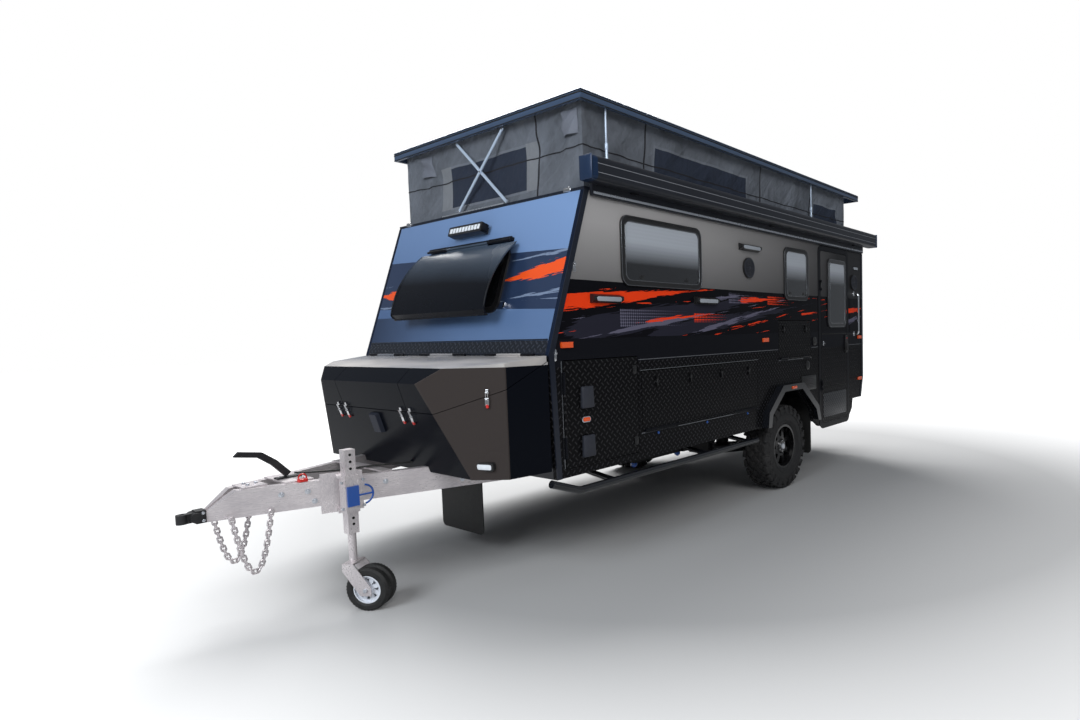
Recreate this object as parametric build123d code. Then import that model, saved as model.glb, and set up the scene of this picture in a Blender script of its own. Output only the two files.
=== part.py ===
"""Single-axle off-road touring caravan with a pop-top roof, parked on its jockey wheel.

Millimetres, +Z up, +X towards the drawbar, +Y to the caravan's left, the door side. Inside the
model X is measured from the wheel axle and Z from the ground. The written parts are moved along X
so that the origin lies on the ground below the middle of the overall length.
"""
import os
from math import atan2, cos, degrees, pi, radians, sin, tan

from build123d import *

# Driving sizes of the body
half_width = 1100.0
wall = 30.0
body_top = 2474.0
floor_low = 755.0
floor_thick = 30.0
skirt_low = 660.0
nose_foot_x = 2965.0
nose_kink_x = 2993.0
nose_kink_z = 1437.0
nose_top_x = 2650.0
rear_x = -1907.0
rear_cut_x = -1841.0
rear_cut_z = 980.0
rear_low = 735.0
shut_gap = 5.0
fit_gap = 0.3
over = 20.0

# Road wheels
tyre_radius = 410.0
tyre_width = 265.0
tyre_tuck = 17.0
tyre_outer_y = half_width - tyre_tuck
tyre_inner_y = tyre_outer_y - tyre_width
bead_radius = 209.0

# Door, boots and hatches in the side walls: front and rear X, low and high Z of each leaf
door_front = -765.0
door_rear = -1430.0
door_low = 545.0
door_top_drop = 94.0
door_high = body_top - door_top_drop
tunnel_front = 2880.0
tunnel_rear = 2190.0
tunnel_low = 715.0
tunnel_high = 1390.0
locker_front = 2150.0
locker_rear = 560.0
locker_low = 862.0
locker_high = 1280.0
table_front = 150.0
table_rear = -520.0
table_low = 1282.0
table_high = 1640.0

# Pop-top roof
roof_front = 2660.0
roof_rear = -1780.0
roof_lap = 10.0
roof_half = half_width + roof_lap
roof_rise = 538.0
roof_deep = 72.0
roof_travel = 480.0
frame_thick = 20.0
frame_high = body_top + frame_thick
roof_low = frame_high + roof_rise
roof_high = roof_low + roof_deep
canvas_front = 2598.0
canvas_rear = -1530.0
canvas_step = 50.0
canvas_half = half_width - canvas_step

# Drawbar
beam_width = 50.0
beam_depth = 150.0
beam_wall = 4.0
beam_low = 605.0
beam_tip_x = 4330.0
beam_tip_y = 80.0
beam_angle = 20.4
beam_nose_run = 130.0
beam_nose_drop = 95.0
nose_plate_half = 14.0
rail_y = 600.0
rail_rear = -1850.0
cross_front = 2860.0
beam_clear = 2.0
coupling_tip = 4585.0


def box(x0, x1, y0, y1, z0, z1):
    """Block between two values on each axis."""
    middle = ((x0 + x1) / 2, (y0 + y1) / 2, (z0 + z1) / 2)
    return Pos(*middle) * Box(abs(x1 - x0), abs(y1 - y0), abs(z1 - z0))


def prism(points, direction):
    """Polygon in space, extruded by the vector direction."""
    face = Face(Wire.make_polygon([Vector(*p) for p in points]))
    return Solid.extrude(face, Vector(*direction))


def prism_y(points, y0, y1):
    """Outline in X and Z, extruded along Y."""
    return prism([(x, y0, z) for x, z in points], (0, y1 - y0, 0))


def prism_x(points, x0, x1):
    """Outline in Y and Z, extruded along X."""
    return prism([(x0, y, z) for y, z in points], (x1 - x0, 0, 0))


def prism_z(points, z0, z1):
    """Outline in X and Y, extruded along Z."""
    return prism([(x, y, z0) for x, y in points], (0, 0, z1 - z0))


def rod(start, end, radius):
    """Round bar between two points."""
    a, b = Vector(*start), Vector(*end)
    place = Plane(origin=a, z_dir=(b - a).normalized())
    return place * Cylinder(radius, (b - a).length, align=(Align.CENTER, Align.CENTER, Align.MIN))


def pipe(points, radii, radius):
    """Round tube with bends of the given radii, solid inside."""
    path = FilletPolyline(*points, radius=radii)
    start = Plane(origin=path @ 0, z_dir=path % 0)
    return sweep(start * Circle(radius), path=path)


def ring_y(profile, y_at_zero=0.0):
    """Closed profile of (radius, y) pairs, turned about an axis along Y through the origin."""
    points = [Vector(r, y + y_at_zero, 0) for r, y in profile]
    return Solid.revolve(Face(Wire.make_polygon(points)), 360, Axis.Y)


def rounded_plate(x0, x1, z0, z1, y0, y1, corner):
    """Plate in a side wall with rounded corners."""
    place = Plane(origin=((x0 + x1) / 2, y0, (z0 + z1) / 2), x_dir=(1, 0, 0), z_dir=(0, 1, 0))
    outline = RectangleRounded(abs(x1 - x0), abs(z1 - z0), corner)
    return extrude(place * outline, y1 - y0)


def both_sides(shape):
    """The shape and its mirror image across the caravan's middle plane."""
    return [shape, mirror(shape, Plane.XZ)]


# Outlines of the side of the body
nose_slope = (nose_kink_x - nose_top_x) / (body_top - nose_kink_z)
nose_lean = atan2(nose_kink_x - nose_top_x, body_top - nose_kink_z)
nose_length = (body_top - nose_kink_z) / cos(nose_lean)


def nose_x(z):
    """X of the sloping front wall's outer face at the height z."""
    return nose_kink_x - (z - nose_kink_z) * nose_slope


def nose_point(along, proud, y=0.0):
    """Point on the sloping front: a distance up the slope from the kink, and out from the wall."""
    x = nose_kink_x - along * sin(nose_lean) + proud * cos(nose_lean)
    z = nose_kink_z + along * cos(nose_lean) + proud * sin(nose_lean)
    return x, y, z


# Entry drop of the left wall below the floor
well_front = -700.0
well_low = 522.0
well_rear = -1466.0
well_ramp_x = -1576.0
well_ramp_z = 627.0
well_end = -1600.0

# Wheel arch, measured on the outer edge of its flare
arch_front = 488.0
arch_rear = -609.0
arch_foot_rear = 609.0
arch_side_front = (466.0, 800.0)
arch_side_rear = (-561.0, 764.0)
arch_crown_front = 194.0
arch_crown_rear = -227.0
arch_crown = 1028.0
flare_band = 62.0
flare_proud = 70.0


def arch_outline(inset):
    """Wheel-arch polygon from its rear foot to its front foot, inset from the flare's edge."""
    half = inset / 2
    return [
        (arch_rear + inset, arch_foot_rear),
        (arch_side_rear[0] + inset, arch_side_rear[1] - half),
        (arch_crown_rear + half, arch_crown - inset),
        (arch_crown_front - half, arch_crown - inset),
        (arch_side_front[0] - inset, arch_side_front[1] - half),
        (arch_front - inset, skirt_low),
    ]


def side_outline(entry):
    """Outline of a side wall. The door side drops below the floor at the entry."""
    front = [
        (arch_front - flare_band, skirt_low),
        (nose_foot_x, skirt_low),
        (nose_kink_x, nose_kink_z),
        (nose_top_x, body_top),
        (rear_x, body_top),
        (rear_x, rear_cut_z),
        (rear_cut_x, rear_low),
    ]
    drop = [
        (well_end, rear_low),
        (well_ramp_x, well_ramp_z),
        (well_rear, well_low),
        (well_front, well_low),
    ]
    arch = arch_outline(flare_band)[:-1]
    return front + drop + arch if entry else front + arch[1:]


# Windows of the side walls: front X, rear X, drop below the body's top and height of the frame
window_rows = [
    (2330.0, 1400.0, 114.0, 480.0),
    (40.0, -460.0, 124.0, 508.0),
]
# The same windows as front X, rear X, low Z, high Z of the frame's outer edge
window_table = [
    (front, rear, body_top - drop - tall, body_top - drop) for front, rear, drop, tall in window_rows
]
window_corner = 70.0
window_band = 42.0
window_lap = 18.0
window_proud = 14.0
pane_thick = 6.0
pane_inset = 4.0


def window_hole(front, rear, low, high, y0, y1):
    """Hole that a window's sleeve fills."""
    lap = window_lap
    return rounded_plate(rear + lap, front - lap, low + lap, high - lap, y0, y1, window_corner - lap)


def window_frame(front, rear, low, high):
    """Flange on the wall with its sleeve through the wall, left side."""
    flange = rounded_plate(
        rear, front, low, high, half_width, half_width + window_proud, window_corner
    )
    lap = window_lap + fit_gap
    sleeve = rounded_plate(
        rear + lap, front - lap, low + lap, high - lap, half_width - wall, half_width, window_corner - lap
    )
    band = window_band
    inner = rounded_plate(
        rear + band,
        front - band,
        low + band,
        high - band,
        half_width - wall - over,
        half_width + window_proud + over,
        window_corner - band / 2,
    )
    return flange + sleeve - inner


def window_pane(front, rear, low, high):
    """Acrylic pane inside the frame, left side."""
    band = window_band + fit_gap
    corner = window_corner - band / 2
    y1 = half_width + window_proud - pane_inset
    y0 = y1 - pane_thick
    return rounded_plate(rear + band, front - band, low + band, high - band, y0, y1, corner)


# Door frame, in the wall thickness and lapping over it
door_frame_band = 32.0
door_frame_lap = 22.0
door_frame_proud = 4.0
door_corner = 60.0
door_face = half_width + door_frame_proud


def door_plate(grow, y0, y1, corner):
    """Plate the shape of the entry door, grown on every side."""
    return rounded_plate(
        door_rear - grow, door_front + grow, door_low - grow, door_high + grow, y0, y1, corner
    )


def wall_cuts_left():
    """Everything that is cut out of the left wall."""
    y0, y1 = half_width - wall - over, half_width + over
    gap = shut_gap
    cuts = [window_hole(*row, y0, y1) for row in window_table]
    cuts.append(door_plate(gap + door_frame_band, y0, y1, door_corner))
    cuts.append(box(tunnel_rear - gap, tunnel_front + gap, y0, y1, tunnel_low - gap, tunnel_high + gap))
    cuts.append(box(locker_rear - gap, locker_front + gap, y0, y1, locker_low - gap, locker_high + gap))
    cuts.append(box(table_rear - gap, table_front + gap, y0, y1, table_low - gap, table_high + gap))
    return cuts


def make_wall_left():
    outline = side_outline(True)
    body = prism_y(outline, half_width - wall, half_width)
    for cut in wall_cuts_left():
        body -= cut
    return body


def make_wall_right():
    body = prism_y(side_outline(False), -half_width, wall - half_width)
    y0, y1 = -half_width - over, wall - half_width + over
    gap = shut_gap
    for row in window_table:
        body -= window_hole(*row, y0, y1)
    body -= box(tunnel_rear - gap, tunnel_front + gap, y0, y1, tunnel_low - gap, tunnel_high + gap)
    return body


# Window in the sloping front wall, behind the stone guard
nose_window_half = 500.0
nose_window_low = 290.0
nose_window_high = 760.0


def on_nose(along, proud=0.0):
    """Plane on the sloping front wall: X of the plane along Y, Y of the plane up the slope."""
    out = (cos(nose_lean), 0, sin(nose_lean))
    return Plane(origin=nose_point(along, proud), x_dir=(0, 1, 0), z_dir=out)


def nose_slab(half, low, high, deep, proud, corner):
    """Rounded plate on the sloping front, from below its surface to above it."""
    plane = on_nose((low + high) / 2, -deep)
    return extrude(plane * RectangleRounded(2 * half, high - low, corner), deep + proud)


def make_wall_front():
    inner = half_width - wall
    lean_wall = wall / cos(nose_lean)
    outline = [
        (nose_foot_x, skirt_low),
        (nose_kink_x, nose_kink_z),
        (nose_top_x, body_top),
        (nose_top_x - lean_wall, body_top),
        (nose_kink_x - lean_wall, nose_kink_z),
        (nose_foot_x - wall, skirt_low),
    ]
    body = prism_y(outline, -inner, inner)
    lap = window_lap
    low, high = nose_window_low + lap, nose_window_high - lap
    body -= nose_slab(nose_window_half - lap, low, high, wall + over, over, window_corner - lap)
    for notch in both_sides(drawbar_envelope(rail_high + beam_clear)):
        body -= notch
    return body


def nose_window_frame():
    corner, lap, band = window_corner, window_lap + fit_gap, window_band
    low, high, half = nose_window_low, nose_window_high, nose_window_half
    frame = nose_slab(half, low, high, 0, window_proud, corner)
    frame += nose_slab(half - lap, low + lap, high - lap, wall, 0, corner - lap)
    opening = nose_slab(
        half - band, low + band, high - band, wall + over, window_proud + over, corner - band / 2
    )
    return frame - opening


def nose_window_pane():
    band = window_band + fit_gap
    low, high = nose_window_low + band, nose_window_high - band
    outer = window_proud - pane_inset
    return nose_slab(nose_window_half - band, low, high, pane_thick - outer, outer, window_corner - band / 2)


def make_wall_rear():
    inner = half_width - wall
    outline = [
        (rear_x, body_top),
        (rear_x, rear_cut_z),
        (rear_cut_x, rear_low),
        (rear_cut_x + wall, rear_low),
        (rear_x + wall, rear_cut_z),
        (rear_x + wall, body_top),
    ]
    below = box(rear_x - over, rear_cut_x + 2 * wall, -inner - over, inner + over, 0, floor_low)
    return prism_y(outline, -inner, inner) - below


# Floor with its wheel boxes and the step well at the door
tub_front = 440.0
tub_rear = -560.0
tub_high = 1010.0
tub_clear = 48.0
tub_inner_y = tyre_inner_y - tub_clear
tub_wall = 12.0
step_deep = 330.0
step_inner_y = half_width - step_deep
step_low = 560.0
step_wall = 12.0
step_front = -730.0
step_rear = -1455.0


def make_floor():
    inner = half_width - wall
    top = floor_low + floor_thick
    floor = box(rear_cut_x + wall, nose_foot_x - wall, -inner, inner, floor_low, top)
    thick = tub_wall
    tub = box(tub_rear - thick, tub_front + thick, tub_inner_y - thick, inner, floor_low, tub_high + thick)
    hollow = box(tub_rear, tub_front, tub_inner_y, inner + over, floor_low - over, tub_high)
    for shell, space in zip(both_sides(tub), both_sides(hollow)):
        floor = floor + shell - space
    well = box(step_rear, step_front, step_inner_y, inner, step_low, top)
    well -= box(
        step_rear + step_wall,
        step_front - step_wall,
        step_inner_y + step_wall,
        inner + over,
        step_low + step_wall,
        top + over,
    )
    floor -= box(step_rear, step_front, step_inner_y, inner + over, floor_low - over, top + over)
    return floor + well


# Lockers behind the hatches: board thickness and depths
board = 12.0
locker_deep = 480.0
locker_depth_y = half_width - locker_deep
locker_top = 1330.0
tunnel_roof = 1405.0
table_deep = 140.0
table_depth_y = half_width - table_deep
board_margin = 22.0


def make_lockers():
    inner = half_width - wall
    low = floor_low + floor_thick
    head = tunnel_rear - shut_gap - board
    boards = box(head, head + board, -inner, inner, low, tunnel_roof + board)
    boards += box(head, nose_foot_x - wall, -inner, inner, tunnel_roof, tunnel_roof + board)
    tail = locker_rear - board_margin
    boards += box(tail, tail + board, locker_depth_y, inner, low, locker_top + board)
    boards += box(tail, head, locker_depth_y, locker_depth_y + board, low, locker_top + board)
    boards += box(tail, head, locker_depth_y, inner, locker_top, locker_top + board)
    front, rear = table_front + board_margin, table_rear - board_margin
    high, base = table_high + board_margin, tub_high + tub_wall
    case = box(rear, front, table_depth_y, inner, base, high + board)
    x0, x1, y0 = rear + board, front - board, table_depth_y + board
    shelf = table_low - board_margin
    case -= box(x0, x1, y0, inner + over, shelf, high)
    case -= box(x0, x1, y0, inner - board, base - over, shelf - board)
    return [boards, case]


# Frame round the top of the walls, and the fixed deck behind the pop-top
frame_band = 70.0


def make_top_frame():
    outer = box(rear_x, nose_top_x, -half_width, half_width, body_top, frame_high)
    return outer - box(
        canvas_rear + frame_band / 2,
        nose_top_x - frame_band,
        -half_width + frame_band,
        half_width - frame_band,
        body_top - over,
        frame_high + over,
    )


# Canvas skirt, from the frame up to the roof's skin
canvas_wall = 12.0
roof_skin = 30.0
roof_ceiling = roof_high - roof_skin


def make_canvas():
    top = roof_ceiling - fit_gap
    outer = box(canvas_rear, canvas_front, -canvas_half, canvas_half, frame_high, top)
    t = canvas_wall
    return outer - box(
        canvas_rear + t, canvas_front - t, t - canvas_half, canvas_half - t, frame_high - over, top + over
    )


# Roof shell
roof_edge = 20.0
roof_round = 12.0


def make_roof():
    shell = box(roof_rear, roof_front, -roof_half, roof_half, roof_low, roof_high)
    shell = fillet(shell.edges().group_by(Axis.Z)[-1], roof_round)
    edge = roof_edge
    hollow = box(
        roof_rear + edge, roof_front - edge, edge - roof_half, roof_half - edge, roof_low - over, roof_ceiling
    )
    return shell - hollow


# Hatch, vent and air conditioner on the roof: front X, rear X, half-width, height
roof_items = {
    "front_hatch": (1800.0, 1200.0, 300.0, 45.0),
    "air_unit": (150.0, -850.0, 350.0, 150.0),
}
roof_item_taper = 12.0


def make_roof_item(name):
    front, rear, half, high = roof_items[name]
    base = Pos((front + rear) / 2, 0, roof_high) * Rectangle(front - rear, 2 * half)
    body = extrude(base, high, taper=roof_item_taper)
    return fillet(body.edges().group_by(Axis.Z)[-1], high / 4)


# Scissor struts at the front and the rear of the pop-top
strut_width = 22.0
strut_thick = 7.0
strut_foot_y = 280.0
strut_foot_rise = 24.0
strut_foot_z = frame_high + strut_foot_rise
strut_head_drop = 10.0
strut_head_z = roof_low - strut_head_drop
strut_pin = 5.0
strut_front_x = 2616.0
strut_gap = 1.0
pin_play = 0.08
strut_rear_x = -1556.0
track_high = 6.0
track_clear = 4.0
strut_length = ((2 * strut_foot_y) ** 2 + (strut_head_z - strut_foot_z) ** 2) ** 0.5


def strut_bar(x0, x1, side, pins, holes):
    """Flat bar that leans from one side at its foot to the other side at its head."""
    foot = Vector(0, side * strut_foot_y, strut_foot_z)
    head = Vector(0, -side * strut_foot_y, strut_head_z)
    middle = (foot + head) / 2
    lean = degrees(atan2(head.Z - foot.Z, head.Y - foot.Y))
    place = Plane(origin=(x0, middle.Y, middle.Z), x_dir=(0, 1, 0), z_dir=(1, 0, 0))
    slot = Rot(0, 0, lean) * SlotCenterToCenter(strut_length, strut_width)
    bar = extrude(place * slot, x1 - x0)
    for at, start, end in pins:
        point = foot + (head - foot) * at
        bar += rod((start, point.Y, point.Z), (end, point.Y, point.Z), strut_pin)
    for at in holes:
        point = foot + (head - foot) * at
        bar -= rod((x0 - over, point.Y, point.Z), (x1 + over, point.Y, point.Z), strut_pin + pin_play)
    return bar


def make_struts(x, out):
    """The two bars of one scissor, its foot bracket with the pin, and the sliding foot's track."""
    inner = (x, x + out * strut_thick)
    outer = (inner[1] + out * strut_gap, inner[1] + out * (strut_gap + strut_thick))
    first = strut_bar(*sorted(inner), 1, [(0.5, inner[0], outer[1])], [0.0])
    second = strut_bar(*sorted(outer), -1, [], [0.5])
    face = inner[0] - out * strut_gap
    half = strut_width / 2
    lug = box(
        face - out * strut_thick,
        face,
        strut_foot_y - half,
        strut_foot_y + half,
        frame_high,
        strut_foot_z + half,
    )
    pin = rod((face, strut_foot_y, strut_foot_z), (inner[1], strut_foot_y, strut_foot_z), strut_pin)
    reach = strut_length - strut_foot_y + strut_width
    near = strut_foot_y - half - track_clear
    track = box(face, outer[1], -reach, near, frame_high, frame_high + track_high)
    return first, second, [lug + pin, track]


# Hinges of doors, hatches, lids and guard
hinge_pin = 4.0
hinge_barrel = 8.0
hinge_leaf = 26.0
hinge_plate = 3.0
hinge_end_share = 0.25
hinge_gap = 1.0


def hinge(origin, fixed_way, along, length, fixed_leaf=hinge_leaf):
    """Fixed and moving halves of a hinge. Its axis runs along, one barrel radius off the surface."""
    plane = Plane(origin=origin, x_dir=fixed_way, z_dir=along)
    end = length * hinge_end_share
    low = (Align.CENTER, Align.CENTER, Align.MIN)
    fixed = Cylinder(hinge_pin, length, align=low)
    for start in (0, length - end):
        fixed += Pos(0, 0, start) * Cylinder(hinge_barrel, end, align=low)
        fixed += box(0, fixed_leaf, -hinge_barrel, hinge_plate - hinge_barrel, start, start + end)
    z0, z1 = end + hinge_gap, length - end - hinge_gap
    moving = Pos(0, 0, z0) * Cylinder(hinge_barrel, z1 - z0, align=low)
    moving += box(-hinge_leaf, 0, -hinge_barrel, hinge_plate - hinge_barrel, z0, z1)
    moving -= Cylinder(hinge_pin + pin_play, length, align=low)
    return plane * fixed, plane * moving


# Entry door
door_hinge_z = [900.0, 1960.0]
door_hinge_length = 110.0
door_window_drop = 70.0
door_window_tall = 740.0
door_window_high = door_high - door_window_drop
door_window = (-920.0, -1390.0, door_window_high - door_window_tall, door_window_high)
door_thick = 30.0


def door_hinges():
    """Fixed halves and moving halves of the two door hinges."""
    place = door_front + shut_gap / 2
    pairs = [
        hinge((place, door_face + hinge_barrel, z), (1, 0, 0), (0, 0, 1), door_hinge_length)
        for z in door_hinge_z
    ]
    return [fixed for fixed, _ in pairs], [moving for _, moving in pairs]


def make_door():
    leaf = door_plate(0, door_face - door_thick, door_face, door_corner - door_frame_band)
    front, rear, low, high = door_window
    band = window_band / 2
    inside = door_face - door_thick
    leaf -= rounded_plate(
        rear + band,
        front - band,
        low + band,
        high - band,
        inside - over,
        door_face + over,
        window_corner - band,
    )
    for half in door_hinges()[1]:
        leaf += half
    return leaf


def make_door_window():
    front, rear, low, high = door_window
    band = window_band / 2
    frame = rounded_plate(rear, front, low, high, door_face, door_face + window_proud, window_corner)
    back = rounded_plate(
        rear + band + fit_gap,
        front - band - fit_gap,
        low + band + fit_gap,
        high - band - fit_gap,
        door_face - door_thick,
        door_face,
        window_corner - band,
    )
    return frame + back


def make_door_frame():
    gap, band, lap = shut_gap, door_frame_band, door_frame_lap
    inside = half_width - wall
    frame = door_plate(gap + band - fit_gap, inside, half_width, door_corner)
    frame += door_plate(gap + band + lap, half_width, door_face, door_corner + lap)
    frame -= door_plate(gap, inside - over, door_face + over, door_corner - band + gap)
    for half in door_hinges()[0]:
        frame += half
    return frame


# Tunnel-boot doors, one each side
tunnel_hinge_low = 780.0
tunnel_hinge_length = 540.0
vent_size = (95.0, 135.0, 26.0)
vent_x = 2700.0
vent_low_z = [770.0, 1085.0]
vent_taper = 14.0


def tunnel_hinge():
    place = tunnel_front + shut_gap / 2
    start = (place, half_width + hinge_barrel, tunnel_hinge_low)
    return hinge(start, (1, 0, 0), (0, 0, 1), tunnel_hinge_length)


def make_tunnel_door():
    leaf = box(tunnel_rear, tunnel_front, half_width - wall, half_width, tunnel_low, tunnel_high)
    leaf += tunnel_hinge()[1]
    wide, tall, deep = vent_size
    for low in vent_low_z:
        plane = Plane(origin=(vent_x, half_width, low + tall / 2), x_dir=(1, 0, 0), z_dir=(0, 1, 0))
        leaf += extrude(plane * Rectangle(wide, tall), deep, taper=vent_taper)
    return leaf


# Fold-down locker hatch and table hatch
fold_hinge_margin = 20.0


def fold_hinge(front, rear, low):
    length = front - rear - 2 * fold_hinge_margin
    start = (rear + fold_hinge_margin, half_width + hinge_barrel, low - shut_gap / 2)
    return hinge(start, (0, 0, -1), (1, 0, 0), length)


def make_fold_hatch(front, rear, low, high):
    leaf = box(rear, front, half_width - wall, half_width, low, high)
    return leaf + fold_hinge(front, rear, low)[1]


# Over-centre latches on the hatches: strap, body and lever
latch_width = 26.0
latch_height = 70.0
latch_deep = 10.0
locker_latch_x = [1985.0, 1572.0, 1141.0, 709.0]
table_latch_x = [60.0, -400.0]
latch_top_inset = 45.0


def hatch_latch(x, high):
    z1 = high - latch_top_inset
    return box(
        x - latch_width / 2, x + latch_width / 2, half_width, half_width + latch_deep, z1 - latch_height, z1
    )


def make_locker_hatch():
    hatch = make_fold_hatch(locker_front, locker_rear, locker_low, locker_high)
    for x in locker_latch_x:
        hatch += hatch_latch(x, locker_high)
    return hatch


def make_table_hatch():
    hatch = make_fold_hatch(table_front, table_rear, table_low, table_high)
    for x in table_latch_x:
        hatch += hatch_latch(x, table_high)
    return hatch


# Stone guard over the front window
guard_half = 570.0
guard_low = 235.0
guard_high = 800.0
guard_proud = 150.0
guard_thick = 5.0
guard_top_proud = 24.0
guard_lip = 70.0
guard_waist_share = 0.74


def guard_profile(out):
    """Points of the guard's section, from the top edge to the rolled bottom lip."""
    top = nose_point(guard_high - 2 * hinge_barrel, guard_top_proud + out)
    waist = nose_point((guard_low + 2 * guard_high) / 3, guard_proud * guard_waist_share + out)
    chin = nose_point(guard_low + guard_lip / 3, guard_proud + out)
    lip = nose_point(guard_low - out, guard_proud - guard_lip / 2)
    return top, waist, chin, lip


def guard_hinge():
    start = nose_point(guard_high + shut_gap, hinge_barrel + guard_top_proud, -guard_half + guard_lip)
    up = (-sin(nose_lean), 0, cos(nose_lean))
    return hinge(start, up, (0, 1, 0), 2 * (guard_half - guard_lip))


def make_guard():
    top, waist, chin, lip = guard_profile(0)
    top2, waist2, chin2, lip2 = guard_profile(guard_thick)
    y = -guard_half
    edges = [
        ThreePointArc(Vector(*top), Vector(*waist), Vector(*chin)),
        Line(Vector(*chin), Vector(*lip)),
        Line(Vector(*lip), Vector(*lip2)),
        Line(Vector(*lip2), Vector(*chin2)),
        ThreePointArc(Vector(*chin2), Vector(*waist2), Vector(*top2)),
        Line(Vector(*top2), Vector(*top)),
    ]
    face = make_face(edges)
    sheet = Pos(0, y, 0) * extrude(face, 2 * guard_half, dir=(0, 1, 0))
    return sheet + guard_hinge()[1]


def guard_mount():
    """Spacer strip on the wall that carries the fixed half of the guard's hinge."""
    half, low = guard_half - guard_lip, guard_high + shut_gap
    strip = nose_slab(half, low, low + hinge_leaf, 0, guard_top_proud, hinge_plate)
    return strip + guard_hinge()[0]


# Toolbox on the drawbar: side profile and plan
box_low = 720.0
box_front_low = 3400.0
box_front_high = 3570.0
box_lip_z = 1287.0
box_brow_x = 3480.0
box_brow_z = 1374.0
box_back_x = 2998.0
box_top_z = 1430.0
box_side_inset = 5.0
box_chamfer_turn = 45.0
box_corner_turn = 450.0
box_side_y = half_width - box_side_inset
box_chamfer_x = 3280.0
box_chamfer_y = box_side_y - box_chamfer_turn
box_corner_y = box_chamfer_y - box_corner_turn
box_sheet = 4.0
split_front_z = 1106.0
split_side_z = 1240.0
split_back_z = 1392.0
lid_joint_y = 400.0
lid_hinge_share = 0.7
lid_rear_gap = 8.0
box_seat_x = 3150.0
box_seat_half = 20.0
box_vent_drop = 90.0


def box_front_x(z):
    """X of the toolbox's leaning front face at the height z."""
    return box_front_low + (box_front_high - box_front_low) * (z - box_low) / (box_lip_z - box_low)


def front_plane(y):
    """Plane on the toolbox's front face at its lid joint: X along Y, Y up the face."""
    lean = atan2(box_front_high - box_front_low, box_lip_z - box_low)
    out = (cos(lean), 0, -sin(lean))
    return Plane(origin=(box_front_x(split_front_z), y, split_front_z), x_dir=(0, 1, 0), z_dir=out)


def toolbox_form(inset, low):
    """Outer form of the toolbox, or its inside when inset by the sheet, down to the height low."""
    t = inset
    profile = [
        (box_back_x + t, low),
        (box_front_x(low) - t, low),
        (box_front_high - t, box_lip_z),
        (box_brow_x - t, box_brow_z - t),
        (box_back_x + t, box_top_z - t),
    ]
    run = (box_front_high - box_chamfer_x) / (box_chamfer_y - box_corner_y)
    ahead = box_front_high + over
    ahead_y = box_corner_y - over / run
    plan = [
        (box_back_x + t, box_side_y - t),
        (box_chamfer_x - t / 2, box_chamfer_y - t),
        (ahead - t, ahead_y - t),
    ]
    outline = plan + [(x, -y) for x, y in reversed(plan)]
    return prism_y(profile, -half_width, half_width) & prism_z(outline, low - over, box_top_z + over)


def split_prism(raise_by):
    """Everything above the joint between the toolbox and its lids."""
    front = box_front_high + over
    split_x = box_front_x(split_front_z)
    points = [
        (box_back_x - over, split_back_z + raise_by),
        (box_back_x, split_back_z + raise_by),
        (box_chamfer_x, split_side_z + raise_by),
        (split_x, split_front_z + raise_by),
        (front, split_front_z + raise_by),
        (front, box_top_z + half_width),
        (box_back_x - over, box_top_z + half_width),
    ]
    return prism_y(points, -half_width - over, half_width + over)


def toolbox_shell():
    """Sheet-metal shell with its floor on the drawbar and an apron below the floor."""
    floor_z = rail_high + beam_clear
    inside = toolbox_form(box_sheet, floor_z + box_sheet)
    below = toolbox_form(box_sheet, box_low - over) & box(
        box_back_x, box_front_high, -half_width, half_width, box_low - 2 * over, floor_z
    )
    return toolbox_form(0, box_low) - inside - below


def make_toolbox():
    base = toolbox_shell() - split_prism(0)
    for notch in both_sides(drawbar_envelope(rail_high + beam_clear)):
        base -= notch
    seat_y = drawbar_line(box_seat_x) - beam_width / 2
    seat = box(
        box_seat_x - box_seat_half,
        box_seat_x + box_seat_half,
        seat_y - box_seat_half,
        seat_y + box_seat_half,
        rail_high + fit_gap,
        rail_high + beam_clear,
    )
    for shape in both_sides(seat):
        base += shape
    wide, tall, deep = vent_size
    vent_plane = front_plane(0) * (Pos(0, -box_vent_drop) * Rectangle(wide, tall))
    return base + extrude(vent_plane, deep, taper=vent_taper)


def lid_spans():
    """Y limits of the middle, left and right lids."""
    gap = shut_gap / 2
    return {
        "lid_middle": (gap - lid_joint_y, lid_joint_y - gap),
        "lid_left": (lid_joint_y + gap, half_width),
        "lid_right": (-half_width, -lid_joint_y - gap),
    }


def lid_hinge(name):
    """Hinge above the rear edge of a lid, its fixed half against the body's front wall."""
    y0, y1 = lid_spans()[name]
    y0, y1 = max(y0, -box_side_y), min(y1, box_side_y)
    length = (y1 - y0) * lid_hinge_share
    start_y = (y0 + y1 - length) / 2
    fall = atan2(box_top_z - box_brow_z, box_brow_x - box_back_x)
    axis_x = box_back_x + lid_rear_gap + hinge_barrel
    axis_z = box_top_z - (axis_x - box_back_x) * tan(fall) + hinge_barrel / cos(fall)
    reach = (axis_x - nose_kink_x) / cos(fall) - fit_gap - hinge_barrel * tan(fall)
    way = (-cos(fall), 0, sin(fall))
    return hinge((axis_x, start_y, axis_z), way, (0, 1, 0), length, reach)


def make_lid(name):
    y0, y1 = lid_spans()[name]
    back = box_back_x + lid_rear_gap
    keep = box(back, box_front_high + over, y0, y1, box_low, box_top_z + over)
    lid = toolbox_shell() & split_prism(shut_gap) & keep
    return lid + lid_hinge(name)[1]


# Chassis
rail_high = beam_low + beam_depth
cross_stations = [1900.0, 950.0, -1000.0, -1750.0]


def hollow_box(x0, x1, y0, y1, axis):
    """Rectangular tube of the chassis along X or Y."""
    t, low, high = beam_wall, beam_low + beam_wall, rail_high - beam_wall
    body = box(x0, x1, y0, y1, beam_low, rail_high)
    if axis == "x":
        return body - box(x0 - over, x1 + over, y0 + t, y1 - t, low, high)
    return body - box(x0 + t, x1 - t, y0 - over, y1 + over, low, high)


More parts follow.
